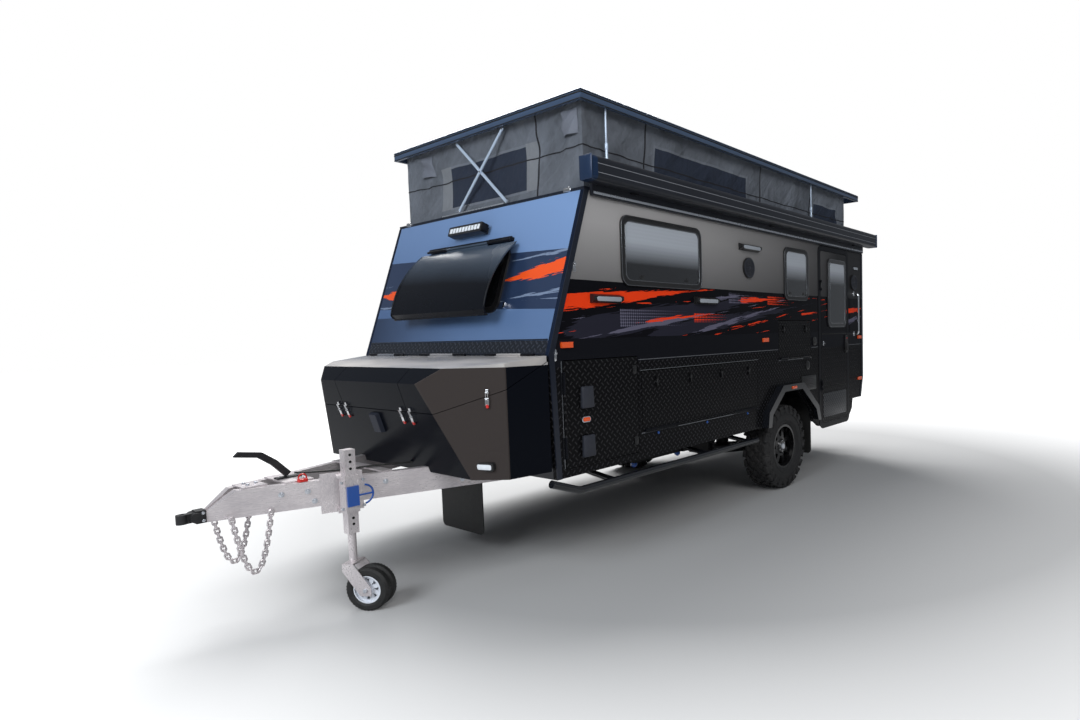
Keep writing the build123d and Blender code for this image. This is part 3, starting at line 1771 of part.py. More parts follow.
def build():
    """All named parts of the caravan."""
    parts = {}
    parts["wall_left"] = make_wall_left()
    parts["wall_right"] = make_wall_right()
    parts["wall_front"] = make_wall_front()
    parts["wall_rear"] = make_wall_rear()
    parts["floor"] = make_floor()
    parts["lockers"] = make_lockers()
    parts["canvas"] = make_canvas()
    parts["roof_shell"] = make_roof()
    parts["roof_units"] = [make_roof_item(name) for name in roof_items]
    frames = [window_frame(*row) for row in window_table]
    panes = [window_pane(*row) for row in window_table]
    parts["window_frames"] = [s for f in frames for s in both_sides(f)] + [nose_window_frame()]
    parts["window_panes"] = [s for p in panes for s in both_sides(p)] + [nose_window_pane()]
    front_a, front_b, front_feet = make_struts(strut_front_x, 1)
    rear_a, rear_b, rear_feet = make_struts(strut_rear_x, -1)
    parts["strut_front_a"], parts["strut_front_b"] = front_a, front_b
    parts["strut_rear_a"], parts["strut_rear_b"] = rear_a, rear_b
    parts["strut_feet"] = front_feet + rear_feet
    parts["top_frame"] = make_top_frame()
    parts["door_leaf"] = make_door()
    parts["door_window"] = make_door_window()
    parts["door_frame"] = make_door_frame()
    parts["tunnel_door_left"] = make_tunnel_door()
    parts["tunnel_door_right"] = mirror(make_tunnel_door(), Plane.XZ)
    parts["locker_hatch"] = make_locker_hatch()
    parts["table_hatch"] = make_table_hatch()
    hinges = both_sides(tunnel_hinge()[0]) + [lid_hinge(name)[0] for name in lid_spans()]
    hinges.append(fold_hinge(locker_front, locker_rear, locker_low)[0])
    hinges.append(fold_hinge(table_front, table_rear, table_low)[0])
    parts["hatch_hinges"] = hinges + [guard_mount()]
    parts["stone_guard"] = make_guard()
    parts["toolbox"] = make_toolbox()
    for name in lid_spans():
        parts[name] = make_lid(name)
    parts["toolbox_latches"] = make_clasps()
    parts["chassis_rails"] = make_rails()
    parts["crossmembers"] = make_crossmembers() + make_ties()
    left = make_drawbar_left()
    parts["drawbar_left"] = left
    parts["drawbar_right"] = mirror(left, Plane.XZ)
    parts["coupling"] = [make_coupling(), make_handbrake()]
    chain = make_chain()
    parts["safety_chains"] = chain + [mirror(link, Plane.XZ) for link in chain]
    parts["jockey_post"] = make_jockey_post()
    parts["jockey_handle"] = make_jockey_handle()
    parts["jockey_fork"] = make_jockey_fork()
    tyre, rim = jockey_wheel_profiles()
    parts["jockey_tyres"] = jockey_wheels(tyre, False)
    parts["jockey_rims"] = jockey_wheels(rim, True)
    wheel_tyre, wheel_rim = make_tyre(), make_rim()
    for name, side in (("left", 1), ("right", -1)):
        parts[f"tyre_{name}"] = wheel_place(side) * wheel_tyre
        parts[f"rim_{name}"] = wheel_place(side) * wheel_rim
    parts["spare_wheel"] = [spare_frame() * make_tyre(), spare_frame() * make_spare()]
    parts["suspension"] = make_suspension()
    parts["arch_flares"] = make_flares()
    parts["mud_flaps"] = make_flaps()
    parts["side_rails"] = make_sliders()
    parts["steadies"] = make_steadies()
    parts["water_tanks"] = make_tanks()
    parts["rear_bumper"] = make_bumper()
    parts["awning"] = make_awning()
    parts["lamps"] = make_lamps()
    parts["grab_handle"] = make_grab_handle()
    parts["marker_lamps"] = make_markers()
    parts["mouldings"] = make_mouldings()
    parts["side_poles"] = make_poles()
    return parts


if __name__ == "__main__":
    export_parts(build())
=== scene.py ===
import math

import bpy
from mathutils import Matrix, Vector


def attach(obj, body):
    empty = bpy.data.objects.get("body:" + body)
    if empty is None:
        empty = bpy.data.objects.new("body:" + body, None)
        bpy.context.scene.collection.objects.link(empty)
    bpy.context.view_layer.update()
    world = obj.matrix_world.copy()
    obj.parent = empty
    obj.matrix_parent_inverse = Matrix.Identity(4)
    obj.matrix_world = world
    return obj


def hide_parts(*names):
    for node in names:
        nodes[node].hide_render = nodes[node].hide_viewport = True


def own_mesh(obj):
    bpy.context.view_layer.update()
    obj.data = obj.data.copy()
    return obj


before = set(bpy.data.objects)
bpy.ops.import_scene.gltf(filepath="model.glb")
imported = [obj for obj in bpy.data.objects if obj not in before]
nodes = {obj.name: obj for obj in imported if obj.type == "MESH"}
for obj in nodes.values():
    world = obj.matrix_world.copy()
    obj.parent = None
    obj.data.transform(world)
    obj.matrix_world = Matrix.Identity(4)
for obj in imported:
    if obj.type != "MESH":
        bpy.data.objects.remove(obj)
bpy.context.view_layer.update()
axleX = -1.1715  # where the wheel axle is; the places below are measured from it
print("frame loaded,", len(nodes), "nodes")


def spot(x, y, z):
    return Vector((x + axleX, y, z))


# ---- camera
cameraView = {
    "place": (5.606, 4.122, 1.54), "yaw": 217.145, "pitch": -3.762, "roll": -1.46, "lens": 21.571,
    "shift": (-0.13596, 0.0151),
}


def makeCamera():
    camera = bpy.data.cameras.new("photoCamera")
    thing = bpy.data.objects.new("photoCamera", camera)
    bpy.context.collection.objects.link(thing)
    camera.sensor_width, camera.lens = 36.0, cameraView["lens"]
    camera.shift_x, camera.shift_y = cameraView["shift"]
    camera.clip_start, camera.clip_end = 0.05, 200.0
    yaw, pitch, roll = (math.radians(cameraView[name]) for name in ("yaw", "pitch", "roll"))
    ahead = Vector((math.cos(yaw) * math.cos(pitch), math.sin(yaw) * math.cos(pitch), math.sin(pitch)))
    right = ahead.cross(Vector((0, 0, 1))).normalized()
    up = right.cross(ahead)
    right, up = (right * math.cos(roll) + up * math.sin(roll), up * math.cos(roll) - right * math.sin(roll))
    turn = Matrix((right, up, -ahead)).transposed().to_4x4()
    thing.matrix_world = Matrix.Translation(spot(*cameraView["place"])) @ turn
    bpy.context.scene.camera = thing


makeCamera()


# ---- shader maths
class Value:  # wraps a socket, so that masks can be written as sums and products
    def __init__(self, tree, socket):
        self.tree, self.socket = tree, socket

    def math(self, operation, first, second=0.0, clamp=False):
        settings = {"operation": operation, "use_clamp": clamp}
        return makeNode(self.tree, "ShaderNodeMath", settings, {0: first, 1: second})

    def __add__(self, other):
        return self.math("ADD", self, other)

    def __sub__(self, other):
        return self.math("SUBTRACT", self, other)

    def __rsub__(self, other):
        return self.math("SUBTRACT", other, self)

    def __mul__(self, other):
        return self.math("MULTIPLY", self, other)

    def __truediv__(self, other):
        return self.math("DIVIDE", self, other)

    def __mod__(self, other):
        return self.math("FLOORED_MODULO", self, other)

    def __gt__(self, other):
        return self.math("GREATER_THAN", self, other)

    def __lt__(self, other):
        return self.math("LESS_THAN", self, other)

    def __abs__(self):
        return self.math("ABSOLUTE", self)

    __radd__, __rmul__ = __add__, __mul__

    def low(self, other):
        return self.math("MINIMUM", self, other)

    def clip(self):
        return self.math("ADD", self, 0.0, True)

    def whole(self):
        return self.math("FLOOR", self)

    def wave(self):
        return self.math("SINE", self)


def makeNode(tree, kind, settings, inputs, output=0):
    node = tree.nodes.new(kind)
    for key, value in settings.items():
        setattr(node, key, value)
    for key, value in inputs.items():
        if isinstance(value, Value):
            tree.links.new(value.socket, node.inputs[key])
        else:
            node.inputs[key].default_value = value
    return Value(tree, node.outputs[output])


finishes = {}


class Finish:  # one material, found again in finishes by its name
    def __init__(self, name, colour, roughness, metallic=0.0, coat=0.0, gloss=0.4):
        self.material = bpy.data.materials.new(name)
        self.material.use_nodes = True
        self.tree = self.material.node_tree
        self.shader = self.tree.nodes["Principled BSDF"]
        self.colour = colour
        self.set("Base Color", (*colour, 1.0))
        self.set("Roughness", roughness)
        self.set("Metallic", metallic)
        self.set("Coat Weight", coat)
        self.set("Coat Roughness", 0.05)
        self.set("Specular IOR Level", gloss)
        finishes[name] = self

    def set(self, name, value):
        if isinstance(value, Value):
            self.tree.links.new(value.socket, self.shader.inputs[name])
        else:
            self.shader.inputs[name].default_value = value

    def make(self, kind, settings=None, inputs=None, output=0):
        return makeNode(self.tree, kind, settings or {}, inputs or {}, output)

    def axes(self, point):
        return [self.make("ShaderNodeSeparateXYZ", {}, {0: point}, i) for i in range(3)]

    def place(self):  # X, Y and Z of the object coordinates, X from the axle
        x, y, z = self.axes(self.make("ShaderNodeTexCoord", {}, {}, 3))
        return x - axleX, y, z

    def join(self, x, y, z):
        return self.make("ShaderNodeCombineXYZ", {}, {0: x, 1: y, 2: z})

    def noiseAt(self, point, scale, detail, rough):
        inputs = {"Vector": point, "Scale": scale, "Detail": detail, "Roughness": rough}
        return self.make("ShaderNodeTexNoise", {}, inputs)

    def noise(self, scale, detail=2.0, stretch=(1.0, 1.0, 1.0), rough=0.5):
        point = self.make("ShaderNodeTexCoord", {}, {}, 3)
        moved = self.make("ShaderNodeVectorMath", {"operation": "MULTIPLY"}, {0: point, 1: stretch})
        return self.noiseAt(moved, scale, detail, rough)

    def mix(self, mask, first, second):  # a colour is a socket or three numbers
        first, second = (c if isinstance(c, Value) else (*c, 1.0) for c in (first, second))
        return self.make("ShaderNodeMix", {"data_type": "RGBA"}, {0: mask, 6: first, 7: second}, 2)

    def dress(self, colour, roughness, height=None, distance=0.0):
        self.set("Base Color", colour)
        self.set("Roughness", roughness)
        if height is not None:
            relief = {"Height": height, "Distance": distance}
            self.set("Normal", self.make("ShaderNodeBump", {}, relief))


def band(value, low, high):
    return (value > low) * (value < high)


def weave(across, along, scale):
    return (across * scale).wave() * (along * scale).wave()


def shade(colour, share):
    return tuple(c * share for c in colour)


# ---- plain finishes
dust = {"colour": (0.16, 0.15, 0.14), "cloud": 2.5, "speck": 40.0, "from": 0.46, "rise": 2.4}
plainFinishes = {
    # colour, roughness, metallic, coat, scale and depth of the grain, wear, gloss
    "powderBlack": ((0.006, 0.0065, 0.009), 0.3, 0.0, 0.0, 900.0, 0.00008, 0.04, 0.1),
    "railBlack": ((0.008, 0.009, 0.012), 0.16, 0.0, 0.7, 900.0, 0.00003, 0.06),
    "chassisBlack": ((0.01, 0.01, 0.011), 0.45, 0.0, 0.0, 700.0, 0.0002, 0.12, 0.2),
    "plasticBlack": ((0.012, 0.012, 0.013), 0.38, 0.0, 0.1, 1400.0, 0.0001, 0.08),
    "ventGrey": ((0.026, 0.029, 0.04), 0.5, 0.0, 0.0, 1200.0, 0.0001, 0.1),
    "slotBlack": ((0.003, 0.003, 0.003), 0.7, 0.0, 0.0, 500.0, 0.0001, 0.05),
    "rubberBlack": ((0.012, 0.012, 0.012), 0.6, 0.0, 0.0, 500.0, 0.0002, 0.15),
    "tyreRubber": ((0.016, 0.016, 0.017), 0.7, 0.0, 0.0, 420.0, 0.0004, 0.3),
    "rimBlack": ((0.01, 0.01, 0.011), 0.26, 0.3, 0.5),
    "beadGrey": ((0.2, 0.21, 0.225), 0.25, 0.8),
    "lensClear": ((0.34, 0.37, 0.41), 0.15, 0.0, 0.6),
    "chrome": ((0.74, 0.75, 0.77), 0.12, 1.0, 0.0, 0.0, 0.0, 0.06),
    "alloyBright": ((0.66, 0.69, 0.74), 0.28, 0.9),
    "strutPaint": ((0.52, 0.62, 0.76), 0.35, 0.3, 0.2),
    "unitWhite": ((0.42, 0.44, 0.46), 0.4, 0.0, 0.2, 900.0, 0.0001, 0.12),
    "jockeyWhite": ((0.7, 0.73, 0.79), 0.35, 0.0, 0.3),
    "releaseBlue": ((0.004, 0.075, 0.36), 0.3, 0.0, 0.5),
    "catchRed": ((0.6, 0.015, 0.01), 0.35, 0.0, 0.4),
    "lensOrange": ((0.9, 0.1, 0.01), 0.18, 0.0, 0.8),
    "lensWhite": ((0.8, 0.84, 0.88), 0.2, 0.0, 0.8),
    "boardLight": ((0.42, 0.38, 0.32), 0.6, 0.0, 0.0, 300.0, 0.0002),
    "tankBlack": ((0.03, 0.03, 0.032), 0.5, 0.0, 0.0, 400.0, 0.0003, 0.15),
    "castIron": ((0.02, 0.02, 0.022), 0.5, 0.5, 0.1, 350.0, 0.0006, 0.2),
    "trimBlack": ((0.01, 0.014, 0.026), 0.3, 0.3, 0.2),
    "capBlue": ((0.012, 0.03, 0.075), 0.3, 0.2, 0.3),
}


def plainFinish(name, colour, roughness, metallic=0.0, coat=0.0, grain=0.0, deep=0.0, wear=0.1, gloss=0.4):
    finish = Finish(name, colour, roughness, metallic, coat, gloss)
    cloud, speck = finish.noise(dust["cloud"], 4.0), finish.noise(dust["speck"], 3.0)
    mask = ((cloud * 0.6 + speck * 0.4 - dust["from"]) * dust["rise"] * wear).clip()
    rough = speck * (wear * 0.5) + cloud * (wear * 0.5) + (roughness - wear * 0.5)
    height = finish.noise(grain, 3.0) if grain else None
    finish.dress(finish.mix(mask, colour, dust["colour"]), rough, height, deep)


for name, row in plainFinishes.items():
    plainFinish(name, *row)


def makeGalvanised():
    finish = Finish("galvanised", (0.56, 0.53, 0.53), 0.36, 0.55)
    cells = finish.make("ShaderNodeTexVoronoi", {}, {"Scale": 60.0}, 1)
    grey, cloud = finish.axes(cells)[0], finish.noise(7.0, 4.0)
    tone = (grey * 0.3 + cloud * 0.7).clip()
    # the cell and cloud mix is the zinc's own uneven tone; the pinkish-white cast of its colours is painted
    # reflection
    colour = finish.mix(tone, (0.86, 0.8, 0.8), (0.42, 0.39, 0.41))
    finish.dress(colour, grey * 0.16 + cloud * 0.1 + 0.22, grey * 0.2 + cloud, 0.0006)


panes = {
    # edge, fade and pale: where the painted reflection on the upper part of the panes starts, how fast it
    # comes in, and its colour
    "edge": 2.03, "fade": 0.16, "pale": (0.5, 0.54, 0.6), "dark": (0.01, 0.011, 0.013),
    "frame": (0.012, 0.012, 0.013), "doorX": (-1.345, -0.965), "doorZ": (1.615, 2.265),
}


def paneWithPaintedReflection(finish, z):  # painted reflection: the upper part of a pane is painted pale, with faint bands
    reflectionBands = (z * 240.0).wave() * 0.02 + 0.98
    reflectionShare = ((z - panes["edge"]) / panes["fade"]).clip()
    return finish.mix(reflectionShare * reflectionBands * 0.85, panes["dark"], panes["pale"])


def makePanes():
    finish = Finish("tintedPane", (0.012, 0.013, 0.016), 0.06, 0.0, 1.0)
    z = finish.place()[2]
    rough = finish.noise(14.0, 3.0) * 0.05 + 0.03
    # dark glass with a painted reflection on its upper part
    finish.dress(paneWithPaintedReflection(finish, z), rough, finish.noise(3.0, 1.0), 0.0015)
    finish = Finish("doorPane", (0.012, 0.013, 0.016), 0.2, 0.0, 0.8)  # pane and frame in one
    x, y, z = finish.place()
    pane = band(x, *panes["doorX"]) * band(z, *panes["doorZ"])
    # the pane part carries the same painted reflection
    colour = finish.mix(pane, panes["frame"], paneWithPaintedReflection(finish, z))
    finish.dress(colour, finish.noise(14.0, 3.0) * 0.05 + 0.34 - pane * 0.3)


cloth = {
    "front": 2.598, "rear": -1.53, "half": 1.05, "low": 2.494, "high": 3.074, "sag": 0.026, "fold": 0.02,
    "cord": 2.772, "keep": 0.1724, "grey": (0.18, 0.2, 0.235), "flap": (0.29, 0.31, 0.34),
    "mesh": (0.018, 0.026, 0.05), "thread": (0.05, 0.068, 0.11), "hem": 0.018,
    # start and end along the cloth from its front left corner, low and high Z
    "windows": [
        (0.758, 2.028, 2.6, 2.91), (3.388, 3.938, 2.62, 2.88), (10.976, 11.876, 2.57, 2.87),
        (8.328, 9.598, 2.6, 2.91), (6.418, 6.968, 2.62, 2.88), (4.748, 5.608, 2.6, 2.9),
    ],
    "flaps": [(10.83, 10.976, 2.56, 2.89), (11.876, 11.985, 2.56, 2.89)],
}
clothLong = cloth["front"] - cloth["rear"]
clothRound = 2 * clothLong + 4 * cloth["half"]


def patches(u, v, rows, wider=0.0):  # mask of rectangles on the cloth
    masks = [band(u, u0 - wider, u1 + wider) * band(v, z0 - wider, z1 + wider) for u0, u1, z0, z1 in rows]
    return sum(masks)


def makeCanvas():
    grey = cloth["grey"]
    finish = Finish("canvasGrey", grey, 0.85)
    u, v = finish.axes(finish.make("ShaderNodeUVMap", {"uv_map": "UVMap"}))[:2]
    stain, fine = finish.noise(2.2, 5.0), finish.noise(26.0, 4.0)
    folds = finish.noise(3.0, 4.0, (1.6, 1.6, 0.7), 0.6)
    bend = finish.noiseAt(finish.join((v - u) * 4.2, (u + v) * 0.8, 0.0), 1.0, 3.0, 0.5)
    crease = (1.0 - abs(bend - 0.5) * 22.0).clip()
    mesh, flap = patches(u, v, cloth["windows"]), patches(u, v, cloth["flaps"])
    rim = patches(u, v, cloth["windows"], cloth["hem"]) - mesh
    dark, pale = shade(grey, 0.62), shade(grey, 1.5)
    colour = finish.mix((stain * 1.3 + fine * 0.3 - 0.3).clip(), dark, pale)
    # painted shade: darker where the fold noise is high
    colour = finish.mix((folds * 5.0 - 2.6).clip() * 0.55, colour, shade(grey, 0.4))
    # painted highlight: paler along the crease lines
    colour = finish.mix(crease * 0.22, colour, pale)
    colour = finish.mix(rim.clip() * 0.6, colour, pale)
    colour = finish.mix(flap, colour, cloth["flap"])
    dots = weave(u, v, 3900.0) * 0.25 + 0.3
    gauze = finish.mix((dots * 0.5 + stain * 0.5).clip(), cloth["mesh"], cloth["thread"])
    height = weave(u, v, 2400.0) * 0.02 + fine * 0.14 + folds * 1.6 + bend * 1.9 + crease * 0.07 + rim * 0.15
    finish.dress(finish.mix(mesh.clip(), colour, gauze), stain * 0.12 + 0.76, height, 0.06)


def makeWebbing(name, colour, scale):
    finish = Finish(name, colour, 0.8)
    x, y, z = finish.place()
    cloud = finish.noise(9.0, 3.0)
    both = finish.mix(cloud, colour, shade(colour, 1.7))
    finish.dress(both, cloud * 0.1 + 0.72, weave(x + y, z, scale), 0.0003)


def makeGuardFinish():  # dark gloss with a painted reflection that makes it paler towards its top edge
    finish = Finish("guardBlack", (0.004, 0.005, 0.008), 0.24, 0.0, 0.03, 0.12)
    y, z = finish.place()[1:]
    cloud = finish.noise(2.0, 3.0)
    # painted reflection: paler towards the top edge
    fade = ((z - 1.93) * 2.6 + y * 0.12 + cloud * 0.2 - 0.1).clip()
    colour = finish.mix(fade, finish.colour, (0.075, 0.105, 0.15))
    finish.dress(colour, cloud * 0.12 + 0.2, finish.noise(600.0), 0.00004)


toolbox = {
    "lowX": 3.4, "lowZ": 0.72, "lipX": 3.57, "lipZ": 1.287, "joint": 1.106, "lidTop": 1.3745,
    "vent": (0.06, 1.1), "clasps": (0.452, 0.348, -0.348, -0.452), "lamp": (3.348, 0.93, 0.8),
    # X and Y of the left chamfer's two edges, Z of its clasp
    "chamfer": (3.28, 1.05, 3.57, 0.6, 1.215),
}


def makeBoxFinish():  # toolbox: black fronts, chamfers painted lighter and brownish as painted light, lid tops partly metallic and painted pale as a reflection
    finish = Finish("boxBlack", (0.004, 0.005, 0.008), 0.24, 0.0, 0.0, 0.04)
    x, y, z = finish.place()
    top, cloud = z > toolbox["lidTop"], finish.noise(1.6, 3.0, (1.0, 0.4, 1.0))
    # painted reflection on the lid tops: pale beige in cloudy patches over grey
    pale = finish.mix((cloud * 3.0 - 1.1).clip(), (0.24, 0.25, 0.28), (0.9, 0.84, 0.78))
    x0, y0, x1, y1, _ = toolbox["chamfer"]
    run = math.hypot(x1 - x0, y1 - y0)
    chamfer = abs((x - x0) * ((y0 - y1) / run) + (abs(y) - y0) * ((x1 - x0) / run)) < 0.006
    # painted light: the chamfer faces are lighter and brownish
    front = finish.mix(chamfer, finish.colour, (0.044, 0.037, 0.035))
    lean = (toolbox["lipX"] - toolbox["lowX"]) / (toolbox["lipZ"] - toolbox["lowZ"])
    half, ventTop = toolbox["vent"]
    proud = (x - toolbox["lowX"]) - (z - toolbox["lowZ"]) * lean > 0.0012  # what stands off the front
    front = finish.mix(proud * band(y, -half, half) * (z < ventTop), front, (0.026, 0.029, 0.04))
    finish.set("Metallic", top * 0.45)
    finish.dress(finish.mix(top, front, pale), cloud * 0.14 + 0.18, finish.noise(900.0), 0.00005)


makeGalvanised()
makePanes()
makeCanvas()
makeWebbing("webbing", (0.012, 0.012, 0.015), 1800.0)
makeWebbing("hoodCloth", (0.11, 0.12, 0.145), 2400.0)
makeGuardFinish()
makeBoxFinish()

# ---- finishes with checker plate and stripes
checker = {"pitch": 0.036, "bar": 0.015, "thick": 0.0058, "high": 0.0045}
nose = {"kinkX": 2.993, "kinkZ": 1.437, "lean": math.atan2(0.343, 1.037)}
sides = {  # heights where the side walls' colours change, then the colours
    "plate": 1.355, "seam": 1.525, "strokes": (1.527, 1.898), "upper": 1.9, "roof": 2.6,
    "plateBlack": (0.006, 0.006, 0.0068), "barHighlight": (0.045, 0.045, 0.05),
    # dark and pale: the ends of the painted reflection on the upper wall
    "dark": (0.032, 0.032, 0.034), "pale": (0.5, 0.485, 0.48),
}
graphics = {
    "grey": (0.13, 0.125, 0.18),
    "slate": (0.022, 0.022, 0.034),
    "orange": (0.9, 0.055, 0.01),
    "black": (0.005, 0.005, 0.007),
    # front X, front Z, rear X, rear Z, half thickness, raggedness, colour
    "side": [
        (2.9, 1.56, 0.3, 1.86, 0.085, 0.05, "slate"),
        (2.1, 1.53, -0.4, 1.8, 0.06, 0.05, "slate"),
        (2.98, 1.745, 1.55, 1.865, 0.055, 0.045, "orange"),
        (2.1, 1.63, 1.25, 1.7, 0.019, 0.03, "orange"),
        (2.5, 1.555, 0.95, 1.735, 0.018, 0.032, "grey"),
        (1.45, 1.56, 0.2, 1.76, 0.022, 0.038, "grey"),
        (1.35, 1.8, 0.75, 1.862, 0.016, 0.028, "grey"),
        (0.85, 1.815, 0.15, 1.842, 0.022, 0.03, "orange"),
        (0.72, 1.6, 0.25, 1.665, 0.012, 0.028, "orange"),
        (-0.3, 1.7, -0.75, 1.74, 0.014, 0.03, "orange"),
        (-1.45, 1.62, -1.95, 1.72, 0.028, 0.04, "grey"),
        (-1.4, 1.74, -1.95, 1.8, 0.034, 0.04, "orange"),
    ],
    # X of the smallest and largest dots, low Z, high Z, colour
    "dots": [
        (1.55, 2.35, 1.6, 1.72, "grey"), (0.5, 1.0, 1.79, 1.875, "grey"),
        (-0.1, 0.35, 1.79, 1.865, "orange"), (1.0, 1.5, 1.63, 1.7, "orange"),
    ],
    # left Y, slope from the kink, right Y, slope, half thickness, raggedness, colour
    "front": [
        (1.15, 0.6, 0.42, 0.5, 0.05, 0.035, "orange"),
        (1.15, 0.42, 0.5, 0.38, 0.012, 0.028, "grey"),
        (1.1, 0.685, 0.55, 0.655, 0.01, 0.026, "grey"),
        (-0.7, 0.48, -1.15, 0.5, 0.05, 0.035, "orange"),
        (-0.75, 0.385, -1.15, 0.39, 0.012, 0.028, "grey"),
    ],
}


def treadPlate(across, along):  # raised bars of a checker plate, lying and standing by turns
    pitch, half, thick = checker["pitch"], checker["bar"], checker["thick"]
    u, v = (across + along) * 0.7071, (along - across) * 0.7071
    turned = ((u / pitch).whole() + (v / pitch).whole()) % 2.0
    localU, localV = abs((u % pitch) - pitch / 2), abs((v % pitch) - pitch / 2)
    lying = ((half - localU) / 0.004).clip() * ((thick - localV) / 0.0018).clip()
    standing = ((half - localV) / 0.004).clip() * ((thick - localU) / 0.0018).clip()
    return lying * turned + standing * (1.0 - turned)


def brushStroke(finish, along, up, row, seed):  # ragged stroke that thins out towards its far end
    x0, z0, x1, z1, half, rag, _ = row
    length = math.hypot(x1 - x0, z1 - z0)
    c, s = (x1 - x0) / length, (z1 - z0) / length
    u = (along - x0) * c + (up - z0) * s
    v = (up - z0) * c - (along - x0) * s
    rough = finish.noiseAt(finish.join(u * 2.2, v * 42.0, seed * 1.7), 1.6, 4.0, 0.6)
    taper = (u / (length * 0.08)).low((length - u) / (length * 0.6)).clip()
    return (taper * half + (rough - 0.56) * (2.2 * rag) - abs(v)) > 0.0


def dotFade(along, up, x0, x1, z0, z1):  # rows of dots that grow along X
    pitch = 0.021
    size = ((along - x0) / (x1 - x0)).clip() * 0.0085 + 0.0005
    dx, dz = (along % pitch) - pitch / 2, (up % pitch) - pitch / 2
    inside = (dx * dx + dz * dz) < size * size
    return inside * band(up, z0, z1) * band(along, x0, x1)


def makeSideFinish():
    finish = Finish("sidePanel", (0.2, 0.2, 0.2), 0.28, 0.0, 0.0, 0.06)
    x, y, z = finish.place()
    brush, cloud = finish.noise(60.0, 3.0, (0.03, 1.0, 1.0)), finish.noise(3.0, 3.0)
    # painted reflection on the upper wall's grey paint: paler towards the front and higher up
    light = ((x + 1.2) / 3.2).clip() * (((z - 1.86) * 2.4).clip() * 0.65 + 0.35)
    upper = finish.mix(light, sides["dark"], sides["pale"])
    colour = finish.mix(z > sides["upper"], graphics["black"], upper)
    for seed, row in enumerate(graphics["side"]):
        mask = brushStroke(finish, x, z, row, seed) * band(z, *sides["strokes"])
        colour = finish.mix(mask, colour, graphics[row[6]])
    for *row, tint in graphics["dots"]:
        colour = finish.mix(dotFade(x, z, *row), colour, graphics[tint])
    colour = finish.mix(z < sides["seam"], colour, (0.008, 0.0085, 0.0115))
    plate = treadPlate(x + y, z) * (z < sides["plate"])
    colour = finish.mix(z < sides["plate"], colour, sides["plateBlack"])
    # painted highlight on the checker plate's raised bars
    colour = finish.mix(plate * 0.6, colour, sides["barHighlight"])
    s, c = math.sin(nose["lean"]), math.cos(nose["lean"])
    edge = ((x - nose["kinkX"]) * c + (z - nose["kinkZ"]) * s) > -0.004  # the walls' sloping front edge
    colour = finish.mix(edge, colour, (0.01, 0.016, 0.034))
    rough = (z > sides["upper"]) * 0.14 + brush * 0.06 + cloud * 0.06 + 0.15
    finish.set("Metallic", band(z, sides["upper"], sides["roof"]) * 0.35)
    finish.dress(colour, rough, plate + brush * 0.01, checker["high"])


frontWall = {  # along the slope from the kink: checker strip, pale foot, dark band, strokes
    "strip": 0.09, "foot": 0.3, "band": (0.335, 0.735), "strokes": (0.3, 0.74),
    "orange": (0.95, 0.1, 0.015), "grey": (0.2, 0.26, 0.38),
}


def makeFrontFinish():
    # the front wall's black panels are painted blue as a sky reflection
    finish = Finish("frontPanelPaintedSky", (0.13, 0.25, 0.48), 0.24, 0.15, 0.2)
    y, z = finish.place()[1:]
    s = (z - nose["kinkZ"]) / math.cos(nose["lean"])
    cloud = finish.noise(1.2, 2.0)
    # painted sky reflection, paler higher up the slope and towards the left wall; below the foot line the
    # colour is darker towards the right wall
    height = ((s - 0.1) * 0.75 + y * 0.22 + 0.1).clip()
    skyReflection = finish.mix(height, (0.07, 0.13, 0.27), (0.21, 0.34, 0.6))
    sideways = ((y + 1.0) * 0.8 + cloud * 0.2).clip()
    foot = finish.mix(sideways, (0.016, 0.032, 0.075), (0.11, 0.19, 0.36))
    colour = finish.mix(s > frontWall["foot"], foot, skyReflection)
    colour = finish.mix(band(s + y * 0.04, *frontWall["band"]), colour, (0.022, 0.04, 0.09))
    for seed, row in enumerate(graphics["front"], 20):
        mask = brushStroke(finish, y, s, row, seed) * band(s, *frontWall["strokes"])
        colour = finish.mix(mask, colour, frontWall[row[6]])
    strip = frontWall["strip"]
    plate = treadPlate(y, s) * band(s, -0.5, strip)
    colour = finish.mix(s < strip, colour, (0.01, 0.013, 0.02))
    # painted highlight on the checker strip's raised bars
    colour = finish.mix(plate * 0.5, colour, (0.07, 0.08, 0.11))
    finish.dress(colour, cloud * 0.12 + 0.26, plate, checker["high"])


def makePlateFinish(name, colour, metallic=0.1, rough=0.26):
    finish = Finish(name, colour, rough, metallic, 0.0, 0.07)
    x, y, z = finish.place()
    plate = treadPlate(x + y, z)
    # painted highlight: the raised bars are painted lighter
    both = finish.mix(plate.clip() * 0.6, colour, tuple(min(1.0, c * 3.0 + 0.03) for c in colour))
    finish.dress(both, finish.noise(8.0, 4.0) * 0.14 + (rough - 0.07), plate, checker["high"])


lenses = {  # orange ahead of the rear X; behind it a lamp of red, white and amber, by height
    "rear": -1.9, "white": (1.36, 1.42), "amber": (1.42, 1.5),
}


def makeMarkerFinish():
    finish = Finish("markerLens", (0.9, 0.1, 0.01), 0.18, 0.0, 0.8)
    x, y, z = finish.place()
    rear = x < lenses["rear"]
    colour = finish.mix(rear, (0.9, 0.1, 0.01), (0.55, 0.008, 0.008))
    colour = finish.mix(rear * band(z, *lenses["white"]), colour, (0.85, 0.8, 0.78))
    colour = finish.mix(rear * band(z, *lenses["amber"]), colour, (0.9, 0.16, 0.01))
    finish.dress(colour, finish.noise(30.0) * 0.1 + 0.12, weave(x + y, z, 900.0), 0.0006)


roofPaint = {"foot": 3.0305, "edge": 3.03, "fade": 0.06, "top": 3.1035}


